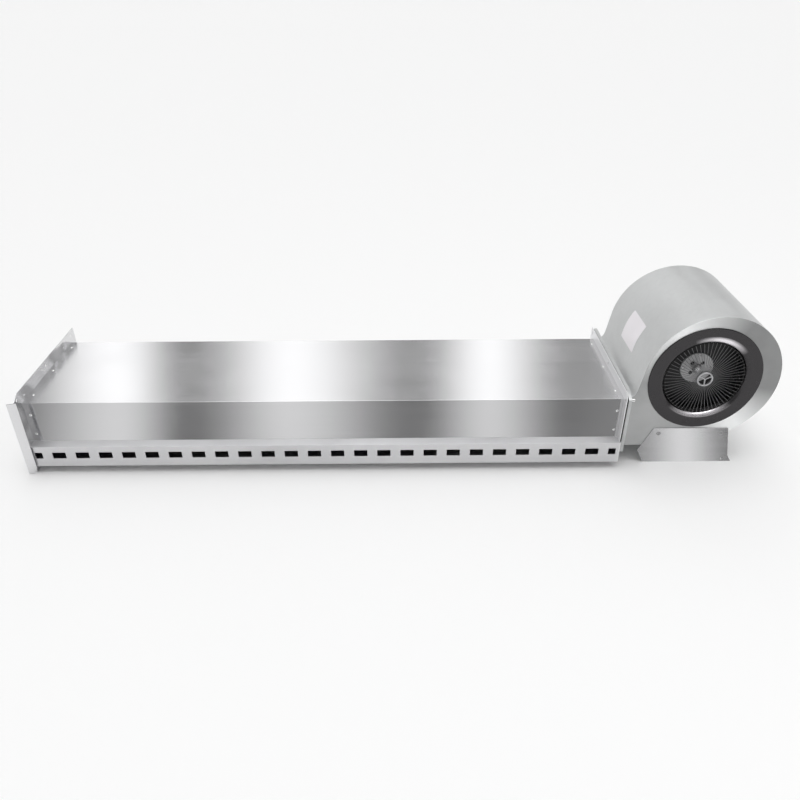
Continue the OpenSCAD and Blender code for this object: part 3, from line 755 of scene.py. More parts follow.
@dataclass(frozen=True)
class Finish:
    """A surface finish that pieces share. This plain kind is paint, rubber or plastic.

    Its effect and its material are built on first use and found by name after that.
    """

    EFFECT: ClassVar[str] = "fine texture"

    name: str
    slot: str
    colour: Colour
    roughness: float
    metallic: float
    effect: float
    bump: float
    coat: float = 0.0
    anisotropy: float = 0.0
    grain: Grain = Grain.LENGTHWISE
    lean: float = 0.0
    wave: float = 0.0
    ripple: float = 1.0

    def paint(self, tree: Tree, given: Any) -> tuple[Socket, Socket, Socket]:
        """Adds the effect's own nodes: here fine pebble and faint dust.

        Args:
            tree: The effect's node group.
            given: The group's inputs by name.

        Returns:
            What the colour is multiplied by, the roughness, and the relief.
        """
        pebble, dust = tree.noise(900.0, 2.0), tree.noise(14.0, 5.0, 0.62)
        shade = tree.times(tree.spread(dust, 0.0, 1.0, (0.45, 0.75)), given["Effect"])
        return tree.sum(1.0, shade), tree.sum(given["Roughness"], tree.spread(dust, -0.05, 0.08)), pebble

    def effect_group(self) -> bpy.types.NodeTree:
        """Finds or builds the node group that holds this kind's effect.

        Returns:
            The node group.
        """
        name = f"{self.EFFECT} {self.grain.value}"
        made = bpy.data.node_groups.get(name)
        if made:
            return made
        made = bpy.data.node_groups.new(name, "ShaderNodeTree")
        for key, value in EFFECT_INPUTS.items():
            kind = "NodeSocketColor" if isinstance(value, tuple) else "NodeSocketFloat"
            made.interface.new_socket(key, in_out="INPUT", socket_type=kind).default_value = value
        for key, kind in EFFECT_OUTPUTS.items():
            made.interface.new_socket(key, in_out="OUTPUT", socket_type=kind)
        tree = Tree(made)
        given = tree.add("NodeGroupInput").outputs
        factor, roughness, relief = self.paint(tree, given)
        tree.add("NodeGroupOutput", {"Colour": tree.tint(given["Colour"], factor), "Roughness": roughness,
                                     "Height": relief, "Normal": tree.leaning_normal(given)})
        return made

    def material(self) -> bpy.types.Material:
        """Finds or builds the material, with its colour, roughness and relief from the effect.

        Returns:
            The material.
        """
        made = bpy.data.materials.get(self.name)
        if made:
            return made
        made = bpy.data.materials.new(self.name)
        made.use_nodes = True
        made.node_tree.nodes.clear()
        tree = Tree(made.node_tree)
        group = tree.add("ShaderNodeGroup", {
            "Colour": (*self.colour, 1.0), "Roughness": self.roughness, "Effect": self.effect,
            "Lean": self.lean, "Wave": self.wave, "Ripple": self.ripple,
        }, node_tree=self.effect_group()).outputs
        bump = tree.add("ShaderNodeBump", {"Height": group["Height"], "Strength": self.bump,
                                           "Distance": BUMP_DEPTH, "Normal": group["Normal"]})
        shader = tree.add("ShaderNodeBsdfPrincipled", {
            "Base Color": group["Colour"], "Roughness": group["Roughness"], "Normal": bump.outputs["Normal"],
            "Metallic": self.metallic, "Coat Weight": self.coat, "Coat Roughness": COAT_ROUGHNESS,
            "Anisotropic": self.anisotropy})
        if self.anisotropy:
            lines = tree.add("ShaderNodeTangent", direction_type="RADIAL", axis=self.grain.value)
            tree.feed(shader.inputs["Tangent"], lines.outputs["Tangent"])
        tree.add("ShaderNodeOutputMaterial", {"Surface": shader.outputs["BSDF"]})
        return made


@dataclass(frozen=True)
class BrushedSheet(Finish):
    """Brushed steel with fine lines one way."""

    EFFECT: ClassVar[str] = "brush lines"
    # Noise scales along and across the lines, for the fine streaks and the broad ones
    STREAKS: ClassVar[tuple[Pair, Pair]] = ((3.0, 2400.0), (1.8, 420.0))
    UPRIGHT_POLISH: ClassVar[float] = 0.32

    def paint(self, tree: Tree, given: Any) -> tuple[Socket, Socket, Socket]:
        """Adds fine and broad streaks with faint handling marks, smoother on upright faces.

        Args:
            tree: The effect's node group.
            given: The group's inputs by name.

        Returns:
            What the colour is multiplied by, the roughness, and the relief.
        """
        fine, broad = (tuple(along if axis == self.grain.value else across for axis in "XYZ")
                       for along, across in self.STREAKS)
        streaks = tree.sum(tree.times(tree.noise(fine, 2.0), 0.5), tree.times(tree.noise(broad, 3.0), 0.5))
        shade = tree.times(tree.spread(streaks, 1.0, 0.0), given["Effect"])
        rough = tree.sum(given["Roughness"], tree.spread(streaks, -0.04, 0.04))
        rough = tree.sum(rough, tree.spread(tree.noise(5.0, 4.0, 0.6), -0.03, 0.03))
        smoother = tree.rest(tree.times(tree.uprightness(), self.UPRIGHT_POLISH))
        return tree.rest(shade), tree.times(rough, smoother), streaks


@dataclass(frozen=True)
class ZincSheet(Finish):
    """Zinc-coated steel with a soft bloom."""

    EFFECT: ClassVar[str] = "zinc bloom"
    CRYSTAL_SCALE: ClassVar[float] = 95.0
    CRYSTAL_SHARE: ClassVar[float] = 0.35

    def paint(self, tree: Tree, given: Any) -> tuple[Socket, Socket, Socket]:
        """Adds the soft crystals and clouding of the zinc.

        Args:
            tree: The effect's node group.
            given: The group's inputs by name.

        Returns:
            What the colour is multiplied by, the roughness, and the relief.
        """
        moved = tree.vector("ADD", tree.place(), tree.times(tree.noise(30.0, 2.0), 0.02))
        crystals = tree.add("ShaderNodeTexVoronoi", {"Vector": moved, "Scale": self.CRYSTAL_SCALE})
        grey = tree.add("ShaderNodeRGBToBW", {"Color": crystals.outputs["Color"]}).outputs["Val"]
        clouds = tree.times(tree.noise(7.0, 4.0, 0.6), 1 - self.CRYSTAL_SHARE)
        mixed = tree.sum(tree.times(grey, self.CRYSTAL_SHARE), clouds)
        shade = tree.times(tree.spread(mixed, 1.0, 0.0), given["Effect"])
        return tree.rest(shade), tree.sum(given["Roughness"], tree.spread(mixed, -0.06, 0.06)), mixed


@dataclass(frozen=True)
class PaintedSheenSheet(Finish):
    """Zinc-coated steel with a painted sheen round the fan axis: bright fans of painted highlight, with
    painted shade between them.
    """

    EFFECT: ClassVar[str] = "painted sheen fans"
    # Angle and fades of each painted highlight fan, and how much of the faint one shows
    HIGHLIGHT_FANS: ClassVar[tuple[Point, Point]] = ((122, 4, 62), (-54, 4, 44))
    FAINT_HIGHLIGHT_FAN: ClassVar[Point] = (-130, 20, 75)
    FAINT_HIGHLIGHT_SHARE: ClassVar[float] = 0.22

    def paint(self, tree: Tree, given: Any) -> tuple[Socket, Socket, Socket]:
        """Adds two bright fans and a faint one as painted highlights, and paints the colour darker, as
        shade, away from them.

        Args:
            tree: The effect's node group.
            given: The group's inputs by name.

        Returns:
            What the colour is multiplied by, the roughness, and the relief.
        """
        fans = tree.sum(*(tree.facing(*mask) for mask in self.HIGHLIGHT_FANS))
        fans = tree.sum(fans, tree.times(tree.facing(*self.FAINT_HIGHLIGHT_FAN), self.FAINT_HIGHLIGHT_SHARE))
        clouds = tree.noise(7.0, 4.0, 0.6)
        # Painted shade: the colour darkens away from the painted highlight fans
        shade = tree.times(tree.rest(fans), given["Effect"])
        return tree.sum(tree.rest(shade), tree.spread(clouds, -0.04, 0.04)), given["Roughness"], clouds


@dataclass(frozen=True)
class SpunSheet(Finish):
    """Dark spun sheet with painted highlights: two bright crescents painted on its rolled lip."""

    EFFECT: ClassVar[str] = "painted lip highlights"
    # Angle and fades of each painted highlight crescent, how bright it is, and the radii where it starts to
    # fade and is gone
    HIGHLIGHT_CRESCENTS: ClassVar[tuple] = (((77, 8, 37), 1.25, (111, 118)), ((-88, 16, 47), 1.35, (104, 111)))

    def paint(self, tree: Tree, given: Any) -> tuple[Socket, Socket, Socket]:
        """Adds the upper and the lower painted highlight crescent.

        Args:
            tree: The effect's node group.
            given: The group's inputs by name.

        Returns:
            What the colour is multiplied by, the roughness, and the relief.
        """
        reach = tree.vector("LENGTH", tree.from_fan_axis(), result="Value")
        upper, lower = (
            tree.times(tree.facing(*mask), tree.spread(reach, peak, 0.0, (full * MM, gone * MM)))
            for mask, peak, (full, gone) in self.HIGHLIGHT_CRESCENTS)
        turning = tree.noise(40.0, 3.0)
        factor = tree.sum(1.0, tree.times(tree.sum(upper, lower), given["Effect"]))
        return factor, tree.sum(given["Roughness"], tree.spread(turning, -0.03, 0.03)), turning


MIRROR_SHEET = BrushedSheet("duct sheet", "brushed_stainless", (0.80, 0.80, 0.81), 0.20, 1.0, 0.05, 0.02,
                            anisotropy=0.95, lean=0.62)
# Painted shade: its colour is a little darker than the duct sheet's, to dim the ledge's reflections
STRIP_SHEET = BrushedSheet("nozzle sheet", "brushed_stainless", (0.70, 0.70, 0.71), 0.55, 1.0, 0.06, 0.03,
                           lean=-0.2, wave=0.35)
PLATE_SHEET = BrushedSheet("end plate sheet", "brushed_stainless", (0.74, 0.74, 0.75), 0.26, 1.0, 0.06, 0.03,
                           grain=Grain.CROSSWISE, lean=-0.08, wave=1.1, ripple=2.0)
FOOT_SHEET = BrushedSheet("foot sheet", "brushed_stainless", (0.80, 0.80, 0.81), 0.24, 1.0, 0.05, 0.02,
                          anisotropy=0.95, lean=0.6)
FRAME_SHEET = BrushedSheet("end frame sheet", "brushed_stainless", (0.86, 0.86, 0.87), 0.50, 0.7, 0.06, 0.03,
                           grain=Grain.CROSSWISE)
INNER_SHEET = BrushedSheet("inner sheet", "inner_sheet", (0.60, 0.61, 0.62), 0.45, 1.0, 0.2, 0.05)
ZINC = ZincSheet("zinc sheet", "galvanised_sheet", (0.72, 0.73, 0.73), 0.42, 0.9, 0.06, 0.04,
                 lean=0.66, wave=0.7)
# Painted sheen: its Effect darkens the front cheek's colour outside the bright fans of painted highlight
CHEEK = PaintedSheenSheet("front cheek", "galvanised_sheet", (0.90, 0.91, 0.91), 0.40, 0.9, 0.69, 0.04)
# Painted highlights: its Effect of 11 brightens the lip's colour in two crescents
RING_METAL = SpunSheet("ring metal", "charcoal_paint", (0.058, 0.056, 0.058), 0.26, 1.0, 11.0, 0.01)
WHEEL_PAINT = Finish("wheel paint", "wheel_paint", (0.012, 0.012, 0.013), 0.45, 0.3, 0.25, 0.03)
# Painted shade and light: one guard steel in three tones, the rim painted dark as shade in the throat, the
# wires mid, the centre boss painted light
GUARD_RIM_SHADED = Finish("guard rim shaded", "guard_wire", (0.03, 0.03, 0.03), 0.45, 0.9, 0.15, 0.02)
GUARD_WIRE = Finish("guard wire", "guard_wire", (0.19, 0.19, 0.193), 0.45, 0.9, 0.15, 0.02)
GUARD_CENTRE_LIT = Finish("guard centre lit", "guard_wire", (0.44, 0.44, 0.45), 0.36, 0.9, 0.15, 0.02)
DULL_STEEL = Finish("dull steel", "bright_fasteners", (0.42, 0.42, 0.425), 0.42, 1.0, 0.12, 0.02)
BRIGHT = Finish("bright steel", "bright_fasteners", (0.80, 0.80, 0.80), 0.24, 1.0, 0.10, 0.02)
GROUND = Finish("ground steel", "ground_steel", (0.66, 0.66, 0.67), 0.22, 1.0, 0.10, 0.02)
BLACK_STEEL = Finish("black steel", "black_steel", (0.03, 0.03, 0.03), 0.38, 0.7, 0.2, 0.03)
CORE_STEEL = BrushedSheet("core steel", "laminated_steel", (0.22, 0.23, 0.25), 0.5, 0.9, 0.4, 0.3,
                          grain=Grain.UPRIGHT)
COPPER = BrushedSheet("copper turns", "copper_windings", (0.55, 0.22, 0.09), 0.36, 0.9, 0.4, 0.3,
                      grain=Grain.UPRIGHT)
MOTOR_PAINT = Finish("motor paint", "motor_paint", (0.16, 0.165, 0.18), 0.42, 0.1, 0.2, 0.05, coat=0.2)
RUBBER = Finish("soft rubber", "soft_rubber", (0.018, 0.018, 0.018), 0.62, 0.0, 0.5, 0.08)
GREY_PLASTIC = Finish("grey plastic", "grey_plastic", (0.26, 0.27, 0.28), 0.46, 0.0, 0.12, 0.08)
DARK_PLASTIC = Finish("dark plastic", "dark_plastic", (0.02, 0.02, 0.02), 0.40, 0.0, 0.3, 0.06)
LABEL_FILM = Finish("label film", "label_white", (0.90, 0.87, 0.90), 0.32, 0.0, 0.04, 0.01, coat=0.3)


# Handing pieces over to the frame


def hand_over(piece: Piece, finish: Finish, *stands_for: str, body: Body = Body.HOUSING) -> None:
    """Shades, paints and files a finished piece.

    Args:
        piece: The piece, in place.
        finish: Its finish.
        stands_for: The solids' nodes that it replaces.
        body: The body that it rides on.
    """
    take(piece)
    bpy.ops.object.shade_smooth_by_angle(angle=FLAT_ANGLE)
    apply_modifier(piece, "WEIGHTED_NORMAL", keep_sharp=True)
    piece.data.materials.clear()
    piece.data.materials.append(finish.material())
    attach(piece, body.value)
    if stands_for:
        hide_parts(*stands_for)
    LOG.info("%s: %d faces, %s, rides on %s", piece.name, len(piece.data.polygons), finish.name, body.value)
    clear_bench()


def dress(finish: Finish, *nodes: str) -> None:
    """Gives solids that stay in the scene their finish.

    Args:
        finish: The finish.
        nodes: The solids' nodes.
    """
    for node in nodes:
        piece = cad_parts[node]
        if not piece.material_slots:
            piece.data.materials.append(finish.material())
        for slot in piece.material_slots:
            slot.material = finish.material()
        LOG.info("%s: kept, %s", node, finish.name)


def merged_copy(node: str, name: str) -> Piece:
    """Copies a solid's mesh, merges its loose triangles and clears flat edges.

    Args:
        node: The solid's node.
        name: The copy's name.

    Returns:
        The copy, ready for its edges to be rounded.
    """
    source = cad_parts[node]
    piece = bpy.data.objects.new(name, source.data.copy())
    bpy.context.collection.objects.link(piece)
    open_mesh(piece)
    bpy.ops.mesh.remove_doubles(threshold=SEAM_GAP * MM)
    bpy.ops.mesh.dissolve_limited(angle_limit=FLUSH_ANGLE)
    bpy.ops.mesh.select_all(action="SELECT")
    bpy.ops.mesh.normals_make_consistent(inside=False)
    clear_bench()
    return piece


def refine(node: str, name: str, finish: Finish, radius: float, segments: int = 2) -> None:
    """Replaces a solid by a merged copy of it with rounded edges."""
    hand_over(soften(merged_copy(node, name), radius, segments), finish, node)


# Fasteners, each modelled once


class Fastener(Enum):
    """The kinds of fastener, by the way that their heads are made."""

    BLIND_RIVET = "blind rivet"
    HEX_BOLT = "hex bolt"
    PAN_SCREW = "pan screw"


@dataclass(frozen=True)
class FastenerShop:
    """Makes fasteners whose heads stand on a surface, looking along local Z."""

    rivet_r: float = 3.8
    rivet_h: float = 1.4
    bolt_across: float = 15.0
    bolt_h: float = 5.5
    bolt_chamfer: float = 0.7
    crown_inset: float = 0.8
    crown_rise: float = 0.1
    screw_r: float = 5.6
    screw_h: float = 2.6
    cross_len: float = 5.8
    cross_w: float = 1.3
    cross_floor: float = 0.45
    # Shares of the radius and the height, from the dimple that the pulled mandrel leaves to the rim
    rivet_profile: Sequence[Pair] = (
        (0, 0.35), (0.2, 0.35), (0.26, 0.9), (0.36, 1), (0.6, 0.84), (0.86, 0.48), (1, 0.06), (1, 0), (0, 0))

    def master(self, kind: Fastener, scale: float = 1.0) -> Piece:
        """Makes one fastener at the origin of the world.

        Args:
            kind: Which fastener.
            scale: Its size against the shop's own.

        Returns:
            The head, seated at height 0.
        """
        makers = {Fastener.BLIND_RIVET: self._rivet, Fastener.HEX_BOLT: self._bolt,
                  Fastener.PAN_SCREW: self._screw}
        piece = makers[kind]()
        piece.data.transform(Matrix.Translation(-DATUM))
        piece.data.transform(Matrix.Scale(scale, 4))
        return piece

    def _rivet(self) -> Piece:
        """Turns a low head with a dimple."""
        profile = [(self.rivet_r * out, self.rivet_h * up) for out, up in self.rivet_profile]
        return lathe("rivet head", profile, (0, 0, 0), Axis.Z, 24)

    def _bolt(self) -> Piece:
        """Cuts a hexagon and chamfers its crown.

        Returns:
            The head.
        """
        piece = new_bar("bolt head", (0, 0, 0), Axis.Z, self.bolt_h, self.bolt_across / 2, 6)
        open_mesh(piece)
        pick(piece, "FACE", lambda f: f.normal.z > 0.9)
        bpy.ops.mesh.inset(thickness=self.crown_inset * MM, depth=0)
        bpy.ops.transform.translate(value=(0, 0, self.crown_rise * MM))
        pick(piece, "EDGE", lying(0.02, z=self.bolt_h))
        bpy.ops.mesh.bevel(offset=self.bolt_chamfer * MM, segments=2, affect="EDGES")
        clear_bench()
        return piece

    def _screw(self) -> Piece:
        """Turns a domed head and cuts a cross in it.

        Returns:
            The head.
        """
        r, h = self.screw_r, self.screw_h
        angles = [math.radians(a) for a in range(0, 81, 16)]
        dome = [(r * math.sin(a), h * math.cos(a) ** 0.7) for a in angles]
        piece = lathe("screw head", [*dome, (r, 0), (0, 0)], (0, 0, 0), Axis.Z, 32)
        half, w = self.cross_len / 2, self.cross_w / 2
        low = h * self.cross_floor
        bars = [new_block("cross", (-a, -b, low), (a, b, h + 1)) for a, b in ((half, w), (w, half))]
        return cut(cut(piece, bars[0]), bars[1])


def stand_at(place: Point, outward: Vector) -> Matrix:
    """Returns the matrix that stands a fastener at a place, looking outward."""
    return Matrix.Translation(at(*place)) @ outward.to_track_quat("Z", "Y").to_matrix().to_4x4()


FRONT, BACK = Vector((0, -1, 0)), Vector((0, 1, 0))
RIGHT, UP, DOWN = Vector((1, 0, 0)), Vector((0, 0, 1)), Vector((0, 0, -1))
SHOP = FastenerShop()


def fasten(name: str, kind: Fastener, places: Iterable[Matrix], finish: Finish, node: str,
           body: Body = Body.HOUSING, scale: float = 1.0) -> None:
    """Stands one kind of fastener at places, as one piece that replaces a node's solids."""
    hand_over(copies(name, SHOP.master(kind, scale), places), finish, node, body=body)


# The sub-assemblies


@dataclass
class AirDuct(UnitSizes):
    """The duct: cover, back panel, nozzle strip and the sheet work inside."""

    lip: float = 24.0
    seam: float = 24.0
    slot_len: float = 34.0
    slot_h: float = 18.5
    slot_pitch: float = 59.2
    slot_count: int = 26
    slot_drop: float = 17.0
    slot_land: float = 8.0
    slot_corner_r: float = 1.4
    punch_reach: float = 4.0
    ledge_fold: float = 0.8
    fold_r: float = 1.1
    crease_r: float = 0.6
    rivet_edge: float = 12.0
    seam_rivets: int = 9
    top_rivets: Sequence[float] = (0.12, 0.5, 0.9)
    front_rivets: Sequence[float] = (0.31, 0.81)

    def build(self) -> None:
        """Builds and dresses the duct."""
        self.cover()
        self.back_panel()
        self.nozzle_strip()
        self.rivets()
        dress(INNER_SHEET, "flow_vane", "cover_braces")

    def cover(self) -> None:
        """Folds the top sheet down at the front and over the back seam."""
        bench = SheetBench("duct_skin", (-self.half, 0, -self.front_h), (self.half, 0, -self.front_h))
        bench.push(z=self.front_h).push(y=self.depth).push(z=-self.seam)
        bench.fold(lying(y=0, z=0), self.crease_r)
        bench.fold(lying(y=self.depth, z=0), self.fold_r)
        hand_over(bench.sheet(self.sheet, UP), MIRROR_SHEET, "duct_cover")

    def back_panel(self) -> None:
        """Folds the back wall, joggled behind the cover's edge, and the floor."""
        floor = -self.front_h - self.strip_h
        bench = SheetBench("duct_back", (-self.half, self.lip, floor), (self.half, self.lip, floor))
        bench.push(y=self.depth - self.lip).push(z=-self.seam - floor)
        bench.push(y=-self.sheet).push(z=self.seam - 2 * self.sheet)
        bench.fold(lying(y=self.depth, z=floor), self.fold_r)
        hand_over(bench.sheet(self.sheet, BACK), MIRROR_SHEET, "duct_back_panel")

    def nozzle_strip(self) -> None:
        """Folds the strip and punches its row of slots."""
        ledge = -self.front_h
        floor = ledge - self.strip_h
        bench = SheetBench("nozzle_face", (-self.half, self.lip, floor), (self.half, self.lip, floor))
        bench.push(y=-self.lip - self.ledge_out).push(z=self.strip_h).push(y=self.ledge_out + self.sheet)
        bench.push(z=self.rivet_edge)
        bench.fold(lying(y=-self.ledge_out, z=floor), self.fold_r)
        bench.fold(lying(y=-self.ledge_out, z=ledge), self.fold_r * self.ledge_fold)
        piece = bench.sheet(self.sheet, FRONT, 0)
        cut(piece, self.slot_cutter(ledge))
        hand_over(soften(piece, 0.2, 1, 60), STRIP_SHEET, "nozzle_strip")

    def slot_cutter(self, ledge: float) -> Piece:
        """Makes the row of punches, trimmed to the lands at both ends.

        Args:
            ledge: The height of the strip's top, in duct measures.

        Returns:
            The joined punches.
        """
        first = -(self.slot_count - 1) / 2 * self.slot_pitch
        top = ledge - self.slot_drop
        front = -self.ledge_out
        punch = new_block("punch", (first - self.slot_len / 2, front - self.punch_reach, top - self.slot_h),
                          (first + self.slot_len / 2, front + self.punch_reach, top))
        open_mesh(punch)
        pick(punch, "EDGE", lambda e: abs((e.verts[0].co - e.verts[1].co).y) > MM)
        bpy.ops.mesh.bevel(offset=self.slot_corner_r * MM, segments=3, affect="EDGES")
        clear_bench()
        apply_modifier(punch, "ARRAY", count=self.slot_count, use_relative_offset=False,
                       use_constant_offset=True, constant_offset_displace=(self.slot_pitch * MM, 0, 0))
        for side in (-1, 1):
            slice_off(punch, at(side * (self.half - self.slot_land), 0, 0), (side, 0, 0))
        return punch

    def rivets(self) -> None:
        """Sets the rivets at both ends of the cover and along the back seam."""
        xs = [side * (self.half - self.rivet_edge) for side in (-1, 1)]
        top = [stand_at((x, self.depth * share, 0), UP) for x in xs for share in self.top_rivets]
        front = [stand_at((x, 0, -self.front_h * share), FRONT) for x in xs for share in self.front_rivets]
        fasten("cover_rivet_heads", Fastener.BLIND_RIVET, top + front, BRIGHT, "cover_rivets")
        step = (2 * self.half - 4 * self.rivet_edge) / (self.seam_rivets - 1)
        row = [stand_at((-self.half + 2 * self.rivet_edge + i * step, self.depth, -self.rivet_edge), BACK)
               for i in range(self.seam_rivets)]
        fasten("seam_rivet_heads", Fastener.BLIND_RIVET, row, BRIGHT, "seam_rivet_row")


@dataclass
class EndPlates(UnitSizes):
    """The closed plate at the left and the open frame at the right."""

    thick: float = 2.0
    left_rise: float = 33.0
    left_front: float = 34.0
    back: float = 28.0
    flange: float = 18.0
    flange_lip: float = 5.0
    toe_h: float = 18.0
    toe_w: float = 10.0
    crest_len: float = 30.0
    crest_drop: float = 13.0
    ground: float = -194.0
    right_rise: float = 24.0
    right_front: float = 20.0
    hole_r: float = 4.0
    hole_inset: float = 15.0
    hole_front: float = 17.0
    hole_back: float = 21.0
    fold_r: float = 2.6
    margin: float = 3.0
    bolt_r: float = 4.3
    tab_len: float = 22.0
    top_tab: Pair = (0.06, 0.94)
    front_tab_lift: float = 20.0
    toe_holes: Pair = (0.2, 0.8)
    corner_r: float = 3.0

    def build(self) -> None:
        """Builds and dresses both plates."""
        self.left()
        self.right()

    def tabs(self, x0: float, x1: float) -> list[Piece]:
        """Folds the tabs that lie under the rivets inside the duct.

        Args:
            x0: Where the tabs start.
            x1: Where they end.

        Returns:
            The three tabs.
        """
        skin = self.sheet
        low = -self.front_h - self.strip_h + self.tab_len
        start, end = (self.depth * share for share in self.top_tab)
        corners = [((x0, start, -2 * skin), (x1, end, -skin)),
                   ((x0, skin, -self.front_h + self.front_tab_lift), (x1, 2 * skin, -self.front_h * 0.12)),
                   ((x0, self.depth - 3 * skin, low), (x1, self.depth - 2 * skin, -self.front_h * 0.3))]
        return [soften(new_block("tab", a, b), 0.3) for a, b in corners]

    def left(self) -> None:
        """Folds the tall plate and its foot, drills it and joins the front flange to it."""
        back, outer = self.depth + self.back, -self.half - self.thick
        web = self.web(back)
        rows = [self.hole_front - self.left_front, back - self.hole_back]
        rows.insert(1, sum(rows) / 2)
        drill(web, [(outer - 3, y, self.left_rise - self.hole_inset) for y in rows], Axis.X, self.hole_r, 10)
        toes = [(outer - self.flange / 2, self.depth * share, self.ground - 3) for share in self.toe_holes]
        drill(web, toes, Axis.Z, self.hole_r, 8)
        tabs = self.tabs(-self.half, -self.half + self.tab_len)
        plate = join("left_plate", [web, self.front_flange(), *tabs])
        hand_over(plate, PLATE_SHEET, "left_end_plate")

    def web(self, back: float) -> Piece:
        """Draws the upright sheet with its sloped front corners, and folds the foot.

        Args:
            back: Where the sheet ends at the back.

        Returns:
            The sheet with its foot.
        """
        crest, front = self.left_rise - self.crest_drop, 0.5 - self.left_front
        toe = self.ground + self.toe_h
        bench = SheetBench("left_web", (-self.half, front, toe), (-self.half, front, crest))
        steps = ((self.toe_w, self.ground, crest + self.crest_drop * self.toe_w / self.crest_len),
                 (self.crest_len, self.ground, self.left_rise))
        for reach, low, high in steps:
            y = reach - self.left_front
            bench.push(y=y - front).taper(low, high, y=y)
            front = y
        bench.push(y=back - front)
        bench.reach(lying(z=self.ground, x=-self.half)).push(x=-self.flange - self.thick)
        bench.clip_corner(lying(y=back, z=self.left_rise), self.corner_r, 3)
        bench.fold(lying(z=self.ground, x=-self.half), self.fold_r)
        return bench.sheet(self.thick, RIGHT, 0.3)

    def front_flange(self) -> Piece:
        """Draws the narrow flange across the web's front, cut away over its inner foot.

        Returns:
            The flange.
        """
        front, crest = -self.left_front, self.left_rise - self.crest_drop
        inner, outer = -self.half + self.flange_lip, -self.half - self.thick - self.flange
        fall = self.flange * 0.2 / (inner - outer)
        bench = SheetBench("left_flange", (inner, front, self.ground + self.toe_h), (inner, front, crest))
        x = inner
        for end in (inner - self.toe_w, outer):
            bench.push(x=end - x).taper(self.ground, crest - (inner - end) * fall, x=end)
            x = end
        return bench.sheet(self.thick, FRONT, 0.4)

    def right(self) -> None:
        """Cuts the open frame that the blower feeds the duct through."""
        x0, x1 = self.half, self.half + self.thick
        piece = new_block("right_plate", (x0, -self.ledge_out, -self.front_h - self.strip_h),
                          (x1, self.depth + self.back, self.right_rise))
        cut(piece, new_block("step", (x0 - 2, -self.ledge_out - 2, -self.front_h),
                             (x1 + 2, -self.right_front, self.right_rise + 2)))
        slice_off(piece, at(x0, -self.right_front, self.right_rise - self.crest_drop),
                  (0, -self.crest_drop, self.crest_len))
        opening = new_block("opening", (x0 - 2, self.margin, -self.outlet_h + self.margin),
                            (x1 + 2, self.depth - self.margin, -self.margin))
        cut(piece, opening)
        drill(piece, [(x0 - 2, *spot) for spot in OutletJoint().spots()], Axis.X, self.bolt_r, 6)
        soften(piece, 0.35, 2, 60)
        piece = join("right_plate", [piece, *self.tabs(self.half - self.tab_len, self.half)])
        hand_over(piece, FRAME_SHEET, "right_end_plate")


@dataclass
class OutletJoint(UnitSizes):
    """The blower's flange, its gasket and the bolts through both."""

    thick: float = 2.0
    flange_w: float = 22.0
    front_drop: float = 9.0
    front_tail: float = 9.0
    washer_r: float = 8.0
    washer_t: float = 1.6
    washer_bore: float = 4.3
    bolt_r: float = 4.0
    recess: float = 1.0
    rim_edge: float = 0.5

    def spots(self) -> list[Pair]:
        """Returns depth and height of each bolt, the front one first.

        Returns:
            A pair for each bolt.
        """
        mid = self.flange_w / 2
        back = [(self.depth + mid, z) for z in (mid, -self.outlet_h / 2, -self.outlet_h + mid)]
        return [(-mid, mid - self.front_drop), (self.depth / 2, mid), *back]

    def build(self) -> None:
        """Builds and dresses the joint."""
        dress(RUBBER, "flange_gasket")
        refine("outlet_flange", "outlet_rim", ZINC, self.rim_edge)
        self.bolts()

    def bolts(self) -> None:
        """Sets bolts with chamfered heads on bevelled washers, the front one with its end standing out."""
        seat = self.flange_x + self.thick + self.washer_t
        heads = copies("bolt_heads", SHOP.master(Fastener.HEX_BOLT),
                       [stand_at((seat, y, z), RIGHT) for y, z in self.spots()])
        start = self.half + self.recess
        shanks = [soften(new_bar("shank", (start, y, z), Axis.X, seat - start, self.bolt_r, 24), 0.5)
                  for y, z in self.spots()]
        y, z = self.spots()[0]
        tail = new_bar("tail", (seat, y, z), Axis.X, SHOP.bolt_h + self.front_tail, self.bolt_r, 24)
        hand_over(join("bolt_heads", [heads, *shanks, soften(tail, 0.6)]), BRIGHT, "flange_bolts")
        rings = []
        for y, z in self.spots():
            start = seat - self.washer_t
            ring = new_bar("washer", (start, y, z), Axis.X, self.washer_t, self.washer_r, 36)
            hole = new_bar("hole", (start - 1, y, z), Axis.X, self.washer_t + 2, self.washer_bore, 24)
            rings.append(soften(cut(ring, hole), 0.3))
        hand_over(join("bolt_washers", rings), BRIGHT, "flange_washers")


